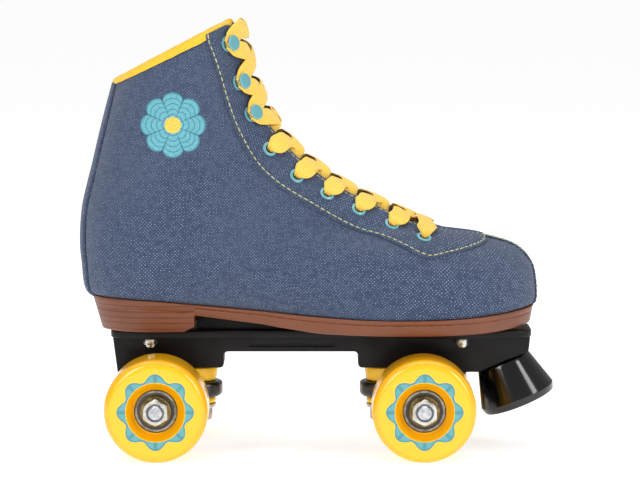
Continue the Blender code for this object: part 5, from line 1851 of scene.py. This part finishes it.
# Pockets in the core's sides, which save weight.
back, front = POCKET_X
top, foot = (PLATE_TOP - depth for depth in POCKET_DEPTHS)
for sign in (-1, 1):
    side = -sign * 13.6 * MM
    outline = [(back, foot), (front, foot), (front, top), (back, top)]
    cuts.append(block("pocket", outline, side - 1 * MM, side + 1 * MM, 0.8 * MM, upright_block=True))
merge(plate, cuts, "DIFFERENCE")
repaint(plate, NYLON)
tidy_mesh(plate.data, 32, outward=False)
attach(plate, "root")
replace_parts(plate, "baseplate")
print("plate:", len(plate.data.polygons), "faces")

# %% [markdown]
# ## Nuts, bolts and washers
#
# A nut starts as a hexagon whose corners are cut by a cone, which gives the curved chamfers of a
# real one. Lock nuts carry a nylon ring at the free end. Threads are plain grooves at a screw's
# pitch, which read the same at this size. Four plate nuts are copies of one.


# %% Make a nut
def nut_mesh(flat_radius, height, bore):
    """A chamfered hexagon with a bore. flat_radius runs to the corners."""
    hexagon = [(flat_radius * math.cos(math.pi / 3 * k), flat_radius * math.sin(math.pi / 3 * k)) for k in range(6)]
    body = block("nut", hexagon, 0, height, 0.12 * MM, segments=2)
    crown = flat_radius * 0.87
    trim = [
        (0, -1 * MM), (flat_radius * 0.9, -1 * MM), (flat_radius * 1.04, 0.9 * MM),
        (flat_radius * 1.05, height - 1.2 * MM), (crown, height + 0.02 * MM), (0, height + 0.02 * MM),
    ]
    merge(body, [add_piece("trim", turned(trim, 48))], "INTERSECT")
    foot, top = (0, 0, height - 1.6 * MM), (0, 0, height + 1.1 * MM)
    merge(body, [rod(flat_radius * 0.7, foot, top, 40, flat_radius * 0.66, 0.4 * MM)])
    merge(body, [rod(bore, (0, 0, -5 * MM), (0, 0, height + 5 * MM), 32)], "DIFFERENCE")
    mesh = body.data.copy()
    bpy.data.objects.remove(body)
    return tidy_mesh(mesh, 32, outward=False)


def ring_mesh(inner, outer, low, high, rounding=0.15 * MM, steps=40):
    profile = softened([(inner, low), (outer, low), (outer, high), (inner, high), (inner, low)], rounding, 3)
    return turned(profile, steps)


def screw_end(radius, low, high, pitch=0.7 * MM):
    """A threaded rod end along Z, with a chamfered tip at the high end."""
    profile = [(0, low)]
    z = low
    while z < high - 1.2 * pitch:
        profile += [(radius, z), (radius - 0.35 * pitch, z + 0.5 * pitch)]
        z += pitch
    profile += [(radius, z), (radius, high - 0.7 * MM), (radius - 0.7 * MM, high), (0, high)]
    return turned(profile, 32, 50)


def painted_parts(name, parts, body):
    """One piece of several meshes, each with its own finish."""
    mesh = bpy.data.meshes.new(name)
    bm = bmesh.new()
    for slot_number, (part, _) in enumerate(parts):
        first = len(bm.faces)
        bm.from_mesh(part)
        bm.faces.ensure_lookup_table()
        for face in bm.faces[first:]:
            face.material_index = slot_number
    bm.to_mesh(mesh)
    bm.free()
    piece = add_piece(name, mesh, *[finish for _, finish in parts])
    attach(piece, body)
    return piece


# %% Bolt the plate to the boot
HEAD_HEIGHT = 1.8 * MM
HEAD_PROFILE = ((0, 0), (5.0, 0), (4.6, 1.2), (2.6, 1.8), (2.4, 0.9), (0, 0.9))
nut_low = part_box("mounting_nut_rear_outer")[0].z
small_nut = template("small nut", nut_mesh(3.7 * MM, 3.2 * MM, 2.05 * MM))
nut_spots = seed([(x, y, nut_low + 4.0 * MM) for x, y in BOLTS], [(0, 0, -1)] * 4, [(1, 0, 0)] * 4)
plate_nuts = grow("plate_nuts", nut_spots, COPIES, ZINC, Copy=small_nut)
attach(plate_nuts, "root")
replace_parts(plate_nuts, *[f"mounting_nut_{e}_{s}" for e in ENDS for s in SIDES])
bolt_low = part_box("mounting_bolt_rear_outer")[0].z
small_bolt = template("small bolt", screw_end(BOLT_RADIUS, 0, 10 * MM))
bolt_spots = seed([(x, y, bolt_low + 12 * MM) for x, y in BOLTS], [(0, 0, -1)] * 4, [(1, 0, 0)] * 4)
bolt_ends = grow("plate_bolt_ends", bolt_spots, COPIES, ZINC, Copy=small_bolt)
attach(bolt_ends, "root")
heads = []
for end in ENDS:
    for side, sign in SIDES.items():
        low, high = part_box(f"mounting_bolt_{end}_{side}")
        middle = (low + high) / 2
        start, stop = bolt_low + 11.5 * MM, high.z - HEAD_HEIGHT
        head = turned(softened(in_mm(HEAD_PROFILE), 0.3 * MM, 3), 32)
        shank = turned([(0, start), (BOLT_RADIUS, start), (BOLT_RADIUS, stop), (0, stop)], 24)
        heads.append(placed(head, Matrix.Translation((middle.x, middle.y, stop))))
        heads.append(placed(shank, Matrix.Translation((middle.x, middle.y, 0))))
bolt_heads = painted_parts("plate_bolts", [(joined(heads), ZINC)], "root")
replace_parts(bolt_heads, *[f"mounting_bolt_{e}_{s}" for e in ENDS for s in SIDES])

# %% [markdown]
# ## The toe stop
#
# A rubber cone on a bolt, tipped forwards so that its foot meets the ground as the skater
# leans. The foot's rim is rounded, and the bolt sits in a well under it.

# %% Turn the toe stop
stop_place = aimed(STOP_DOWN, STOP_SEAT)
stop_profile = softened(
    [
        (4.3, 0), (14.2, 0), (15.0, 2.4), (20.6, 20.6), (19.4, 24.4), (12.0, 25.5), (8.0, 25.7),
        (8.0, 12.3), (4.3, 12.3), (4.3, 0),
    ],
    1.7,
    6,
)
stop = add_piece("rubber_stop", placed(turned(in_mm(stop_profile), 72, 45), stop_place), RUBBER)
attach(stop, "root")
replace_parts(stop, "toe_stop")
washer_mesh = ring_mesh(4.4 * MM, 7.3 * MM, 12.6 * MM, 14.1 * MM)
stop_washer = add_piece("stop_washer", placed(washer_mesh, stop_place), ZINC)
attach(stop_washer, "root")
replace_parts(stop_washer, "toe_stop_washer")
stop_bolt_profile = softened(
    [(0, 16.9), (2.6, 16.9), (2.6, 19.4), (6.5, 19.4), (6.5, 14.4), (4.0, 14.4), (4.0, -14.0), (0, -14.0)], 0.3, 3
)
stop_bolt = add_piece("stop_bolt", placed(turned(in_mm(stop_bolt_profile[::-1]), 40), stop_place), ZINC)
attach(stop_bolt, "root")
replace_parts(stop_bolt, "toe_stop_bolt")

# %% [markdown]
# ## Trucks
#
# A truck is one casting: a beam round the axle, a ring that the cushions squeeze, and an arm
# whose pin sits in the pivot cup. The separate solids are joined and then remeshed finely, and
# the little that smoothing takes off gives the soft inner corners of a casting.

# %% Cast the trucks
TRACK = 88 * MM
WHEEL_WIDTH = 32 * MM
BEAM_END = TRACK / 2 - WHEEL_WIDTH / 2 - 1.5 * MM
NOSE_END = TRACK / 2 - WHEEL_WIDTH / 2 + 5 * MM - GAP
TRUCK_RING = ((0, 4.3), (12.5, 4.3), (13.6, 3.0), (13.5, -2.4), (11.7, -4.3), (0, -4.3))
CAST_DETAIL = 0.75 * MM


def hanger(end, outwards):
    axle, pivot = AXLES[end], PIVOTS[end]
    middle = Vector((kingpin_x[end], 0, RING_MIDDLE_Z))
    way = (pivot - middle).normalized()
    reach = (pivot - middle).length
    y = Vector((0, 1, 0))
    cast = rod(8.5 * MM, axle - y * BEAM_END, axle + y * BEAM_END, 40, rounding=1.5 * MM)
    cast.name = f"hanger_{end}"
    ring_profile = softened(in_mm(TRUCK_RING), 0.8 * MM, 3)
    ring_solid = add_piece("ring", placed(turned(ring_profile[::-1], 48), Matrix.Translation(middle)))
    arm = rod(4.8 * MM, middle + way * 13 * MM, middle + way * (reach - 5.5 * MM), 32)
    pin = rod(3.6 * MM, middle + way * 14 * MM, middle + way * (reach + 3.5 * MM), 32, rounding=0.6 * MM)
    web_x, web_end = middle.x + outwards * 10.2 * MM, middle + way * (reach - 7 * MM)
    web_outline = [
        (web_x, middle.z + 3.1 * MM), (web_x, middle.z - 3.1 * MM), (axle.x, axle.z), (web_end.x, web_end.z)
    ]
    web = block("web", web_outline, -3.4 * MM, 3.4 * MM, 0.5 * MM, upright_block=True)
    merge(cast, [ring_solid, arm, web, pin])
    merge(cast, [rod(6.7 * MM, middle - UP * 20 * MM, middle + UP * 20 * MM, 32)], "DIFFERENCE")
    remesh = cast.modifiers.new("casting", "REMESH")
    remesh.mode = "VOXEL"
    remesh.voxel_size = CAST_DETAIL
    soften_step = cast.modifiers.new("soft corners", "SMOOTH")
    soften_step.factor = 0.5
    soften_step.iterations = 3
    apply_modifiers(cast)
    shells = []
    for way_out in (-y, y):
        start, stop = axle + way_out * (BEAM_END - 2 * MM), axle + way_out * NOSE_END
        nose = rod(6.8 * MM, start, stop, 32, rounding=0.3 * MM)
        shells.append(nose.data.copy())
        bpy.data.objects.remove(nose)
    cast.data = mesh = joined([cast.data] + shells)
    repaint(cast, BLACK_METAL)
    mesh.shade_smooth()
    mesh.set_sharp_from_angle(angle=math.radians(50))
    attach(cast, f"{end}_truck")
    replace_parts(cast, f"truck_hanger_{end}")
    print(cast.name, len(mesh.polygons), "faces")


for end, outwards in (("rear", -1), ("front", 1)):
    hanger(end, outwards)

# %% [markdown]
# ## Kingpins and cushions
#
# A kingpin hangs from each boss. On it, from the top: a tall urethane cushion, the truck's ring,
# a thin cushion, a dished washer and a lock nut.


# %% Stack the kingpins
CUSHION_BORE = 4.8 * MM


def kingpin_stack(end):
    x = kingpin_x[end]
    here = Matrix.Translation((x, 0, 0))
    for name, radii in (("upper_cushion", (11.2, 10.4, 10.0)), ("lower_cushion", (9.4, 9.7, 9.3))):
        low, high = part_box(f"{name}_{end}")
        top, waist, foot = (r * MM for r in radii)
        mid = (low.z + high.z) / 2
        profile = [
            (CUSHION_BORE, high.z), (top, high.z), (waist + 0.2 * MM, mid), (foot, low.z),
            (CUSHION_BORE, low.z), (CUSHION_BORE, high.z),
        ]
        profile = softened(profile, 1.0 * MM, 4)
        shape = placed(turned(profile[::-1], 56, 60), here)
        cushion = add_piece(f"{name}_soft_{end}", shape, CUSHION_YELLOW)
        top_body, low_body = "root", f"{end}_truck"
        if name == "lower_cushion":
            top_body, low_body = low_body, top_body
        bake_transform(cushion)
        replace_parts(cushion, f"{name}_{end}")
    low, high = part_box(f"cushion_washer_{end}")
    dish = softened([
        (CUSHION_BORE, low.z), (8.2 * MM, low.z), (9.9 * MM, low.z + 0.9 * MM), (10.0 * MM, high.z),
        (9.2 * MM, high.z), (8.6 * MM, high.z - 0.4 * MM), (CUSHION_BORE, high.z - 0.4 * MM),
        (CUSHION_BORE, low.z),
    ], 0.25 * MM, 3)
    washer = add_piece(f"dished_washer_{end}", placed(turned(dish, 48), here), ZINC)
    low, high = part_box(f"kingpin_nut_{end}")
    flip = Matrix.Translation((x, 0, high.z)) @ Matrix.Rotation(math.pi, 4, "X")
    nut_shape = placed(nut_mesh(8.0 * MM, high.z - low.z, 4.6 * MM), flip)
    nut = add_piece(f"kingpin_lock_nut_{end}", nut_shape, ZINC)
    low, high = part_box(f"kingpin_{end}")
    pin_flip = Matrix.Translation((x, 0, high.z)) @ Matrix.Rotation(math.pi, 4, "X")
    pin_shape = placed(screw_end(4.5 * MM, 0, high.z - low.z, 1.25 * MM), pin_flip)
    pin = add_piece(f"kingpin_bolt_{end}", pin_shape, ZINC)
    for piece, node in ((washer, "cushion_washer"), (nut, "kingpin_nut"), (pin, "kingpin")):
        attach(piece, "root")
        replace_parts(piece, f"{node}_{end}")
    repaint(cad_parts[f"pivot_cup_{end}"], RUBBER)


for end in ENDS:
    kingpin_stack(end)

# %% [markdown]
# ## Wheels
#
# Each wheel is cast urethane: a flat printed face, rounded lips, and a cone that leads down to
# the bearing. The profile is turned in steps fine enough to look round. The print is a ring and
# eight petals, drawn by the finish from each point's place on the wheel's face, so the same
# finish serves all four wheels whichever way they have turned.

# %% The wheel's finish
RECESS_RADIUS = 15.3 * MM
PRINT_RING = 16.7 * MM
PRINT_TIP = 20.6 * MM
PRINT_POWER = 1.3


def wheel_finish():
    base, shaded_amber = colour(255, 196, 22), colour(246, 168, 2)
    teal, deep = colour(92, 166, 172), colour(62, 132, 142)
    finish, tree, shader = plain_finish(
        "wheel urethane", base, 0.2, Subsurface_Weight=0.3, Subsurface_Scale=0.006,
        Coat_Weight=0.25, Coat_Roughness=0.1,
    )
    radius, wave = petal_wave(tree)
    swell = times(tree, maths(tree, "POWER", wave, PRINT_POWER), PRINT_TIP - PRINT_RING)
    tip = maths(tree, "ADD", swell, PRINT_RING - 0.0004)
    inside = maths(tree, "SUBTRACT", tip, radius)
    petal = ramp(tree, inside, 0.0, 0.0003)
    outline = times(tree, petal, ramp(tree, inside, 0.0013, 0.0009))
    vein = times(tree, petal, ramp(tree, wave, 0.96, 0.995))
    ring_mask = ramp(tree, radius, PRINT_RING + 0.0002, PRINT_RING)
    beyond_cone = ramp(tree, radius, RECESS_RADIUS + 0.0001, RECESS_RADIUS + 0.0003)
    print_mask = times(tree, maths(tree, "MAXIMUM", petal, ring_mask), beyond_cone)
    inked = blend_colour(tree, times(tree, maths(tree, "MAXIMUM", outline, vein), 0.7), teal, deep)
    # Painted shade: the cone down to the bearing and the rounded lip are blended towards a darker amber.
    cone = ramp(tree, radius, RECESS_RADIUS + 0.0001, RECESS_RADIUS - 0.0008)
    lip_shade = ramp(tree, radius, 0.0225, 0.0262, 0.0, 0.55)
    body = blend_colour(tree, maths(tree, "MAXIMUM", cone, lip_shade), base, shaded_amber)
    paint(tree, shader, blend_colour(tree, print_mask, body, inked))
    place = local_place(tree)
    fine = use_group(tree, GRAIN, Place=place, Size=0.004)
    tree.links.new(ramp(tree, fine.outputs["Tone"], 0.3, 0.7, 0.15, 0.26), shader.inputs["Roughness"])
    bump(tree, shader, fine.outputs["Height"], 0.00003, 0.4)
    return finish


WHEEL_YELLOW = wheel_finish()


# %% Turn the wheels
WHEEL_RADIUS = 27 * MM
SEAT = WHEEL_WIDTH / 2 - 5 * MM
HUB, HOUSING, LIP = 9 * MM, 11.3 * MM, 4.6 * MM


def wheel_profile():
    half = WHEEL_WIDTH / 2
    side = [
        (HOUSING, SEAT - 7.2 * MM), (HOUSING, SEAT + 0.2 * MM), (12.6 * MM, SEAT + 0.9 * MM), (RECESS_RADIUS, half)
    ]
    for k in range(11):
        turn = math.pi / 2 * k / 10
        side.append((WHEEL_RADIUS - LIP * (1 - math.sin(turn)), half - LIP * (1 - math.cos(turn))))
    far_side = [(r, -z) for r, z in side[::-1]]
    profile = [(HUB, SEAT - 7.2 * MM)] + side + far_side + [(HUB, 7.2 * MM - SEAT)]
    return profile + [profile[0]]


def with_face_coordinates(mesh):
    """Gives each point its place on the wheel's face as the flat coordinate."""
    layer = mesh.uv_layers.new(name="cloth")
    for loop in mesh.loops:
        co = mesh.vertices[loop.vertex_index].co
        layer.data[loop.index].uv = (co.x, co.y)
    return mesh


def wheel(end, side, sign):
    body = f"{end}_{side}_wheel"
    middle = Vector((AXLES[end].x, sign * TRACK / 2, AXLES[end].z))
    place = aimed((0, sign, 0), middle, UP)
    shape = with_face_coordinates(turned(wheel_profile(), 96, 30))
    tyre = add_piece(f"tyre_{end}_{side}", placed(shape, place), WHEEL_YELLOW)
    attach(tyre, body)
    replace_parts(tyre, f"wheel_{end}_{side}")
    for label, low in (("near", SEAT - 7 * MM), ("far", -SEAT)):
        rings = joined([
            ring_mesh(9.4 * MM, 11.0 * MM, low, low + 7 * MM, 0.3 * MM, 56),
            ring_mesh(4.3 * MM, 6.0 * MM, low, low + 7 * MM, 0.3 * MM, 48),
        ])
        shield_step = [(6.1 * MM, 0.6), (9.3 * MM, 0.35), (9.3 * MM, 6.65), (6.1 * MM, 6.4), (6.1 * MM, 0.6)]
        shield = turned([(r, low + z * MM) for r, z in shield_step], 48)
        parts = [(placed(rings, place), BEARING_STEEL), (placed(shield, place), SHIELD)]
        bearing = painted_parts(f"bearing_set_{end}_{side}_{label}", parts, body)
        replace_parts(bearing, f"bearing_{end}_{side}_{label}")
    washer = ring_mesh(4.2 * MM, 8.0 * MM, SEAT + 0.35 * MM, SEAT + 1.25 * MM, 0.2 * MM)
    hexagon = nut_mesh(7.2 * MM, 5.1 * MM, 4.6 * MM)
    hexagon.transform(Matrix.Translation((0, 0, SEAT + 1.3 * MM)))
    insert = ring_mesh(3.9 * MM, 4.7 * MM, SEAT + 5.9 * MM, SEAT + 7.3 * MM, 0.2 * MM)
    parts = ((hexagon, ZINC), (washer, YELLOW_ZINC), (insert, LOCK_RING))
    parts = [(placed(part, place), finish) for part, finish in parts]
    nut = painted_parts(f"axle_lock_nut_{end}_{side}", parts, f"{end}_truck")
    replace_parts(nut, f"axle_nut_{end}_{side}")


for end in ENDS:
    for side, sign in SIDES.items():
        wheel(end, side, sign)

# %% The axles
for end in ENDS:
    low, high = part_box(f"axle_{end}")
    halves = []
    for sign in (-1, 1):
        halves.append(placed(screw_end(4.0 * MM, 0, high.y, 1.0 * MM), aimed((0, sign, 0), AXLES[end])))
    axle = add_piece(f"axle_rod_{end}", joined(halves), STEEL)
    axle.data.shade_smooth()
    axle.data.set_sharp_from_angle(angle=math.radians(40))
    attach(axle, f"{end}_truck")
    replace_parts(axle, f"axle_{end}")


# %% [markdown]
# ## Floor
#
# The floor runs far past the camera's view, so no edge of it shows. It glows a little, as a lit
# studio sweep does.

# %% Floor and finish
FLOOR_REACH = 30
FLOOR_GLOW = 0.62
PALE_FLOOR = moulded("pale floor", colour(238, 238, 238), 0.7, Specular_IOR_Level=0.2)
floor_shader = PALE_FLOOR.node_tree.nodes["Principled BSDF"]
floor_shader.inputs["Emission Color"].default_value = (1, 1, 1, 1)
floor_shader.inputs["Emission Strength"].default_value = FLOOR_GLOW
floor_mesh = surface([[(x * FLOOR_REACH, y * FLOOR_REACH, 0) for x in (-1, 1)] for y in (-1, 1)])
floor = add_piece("floor", floor_mesh, PALE_FLOOR)
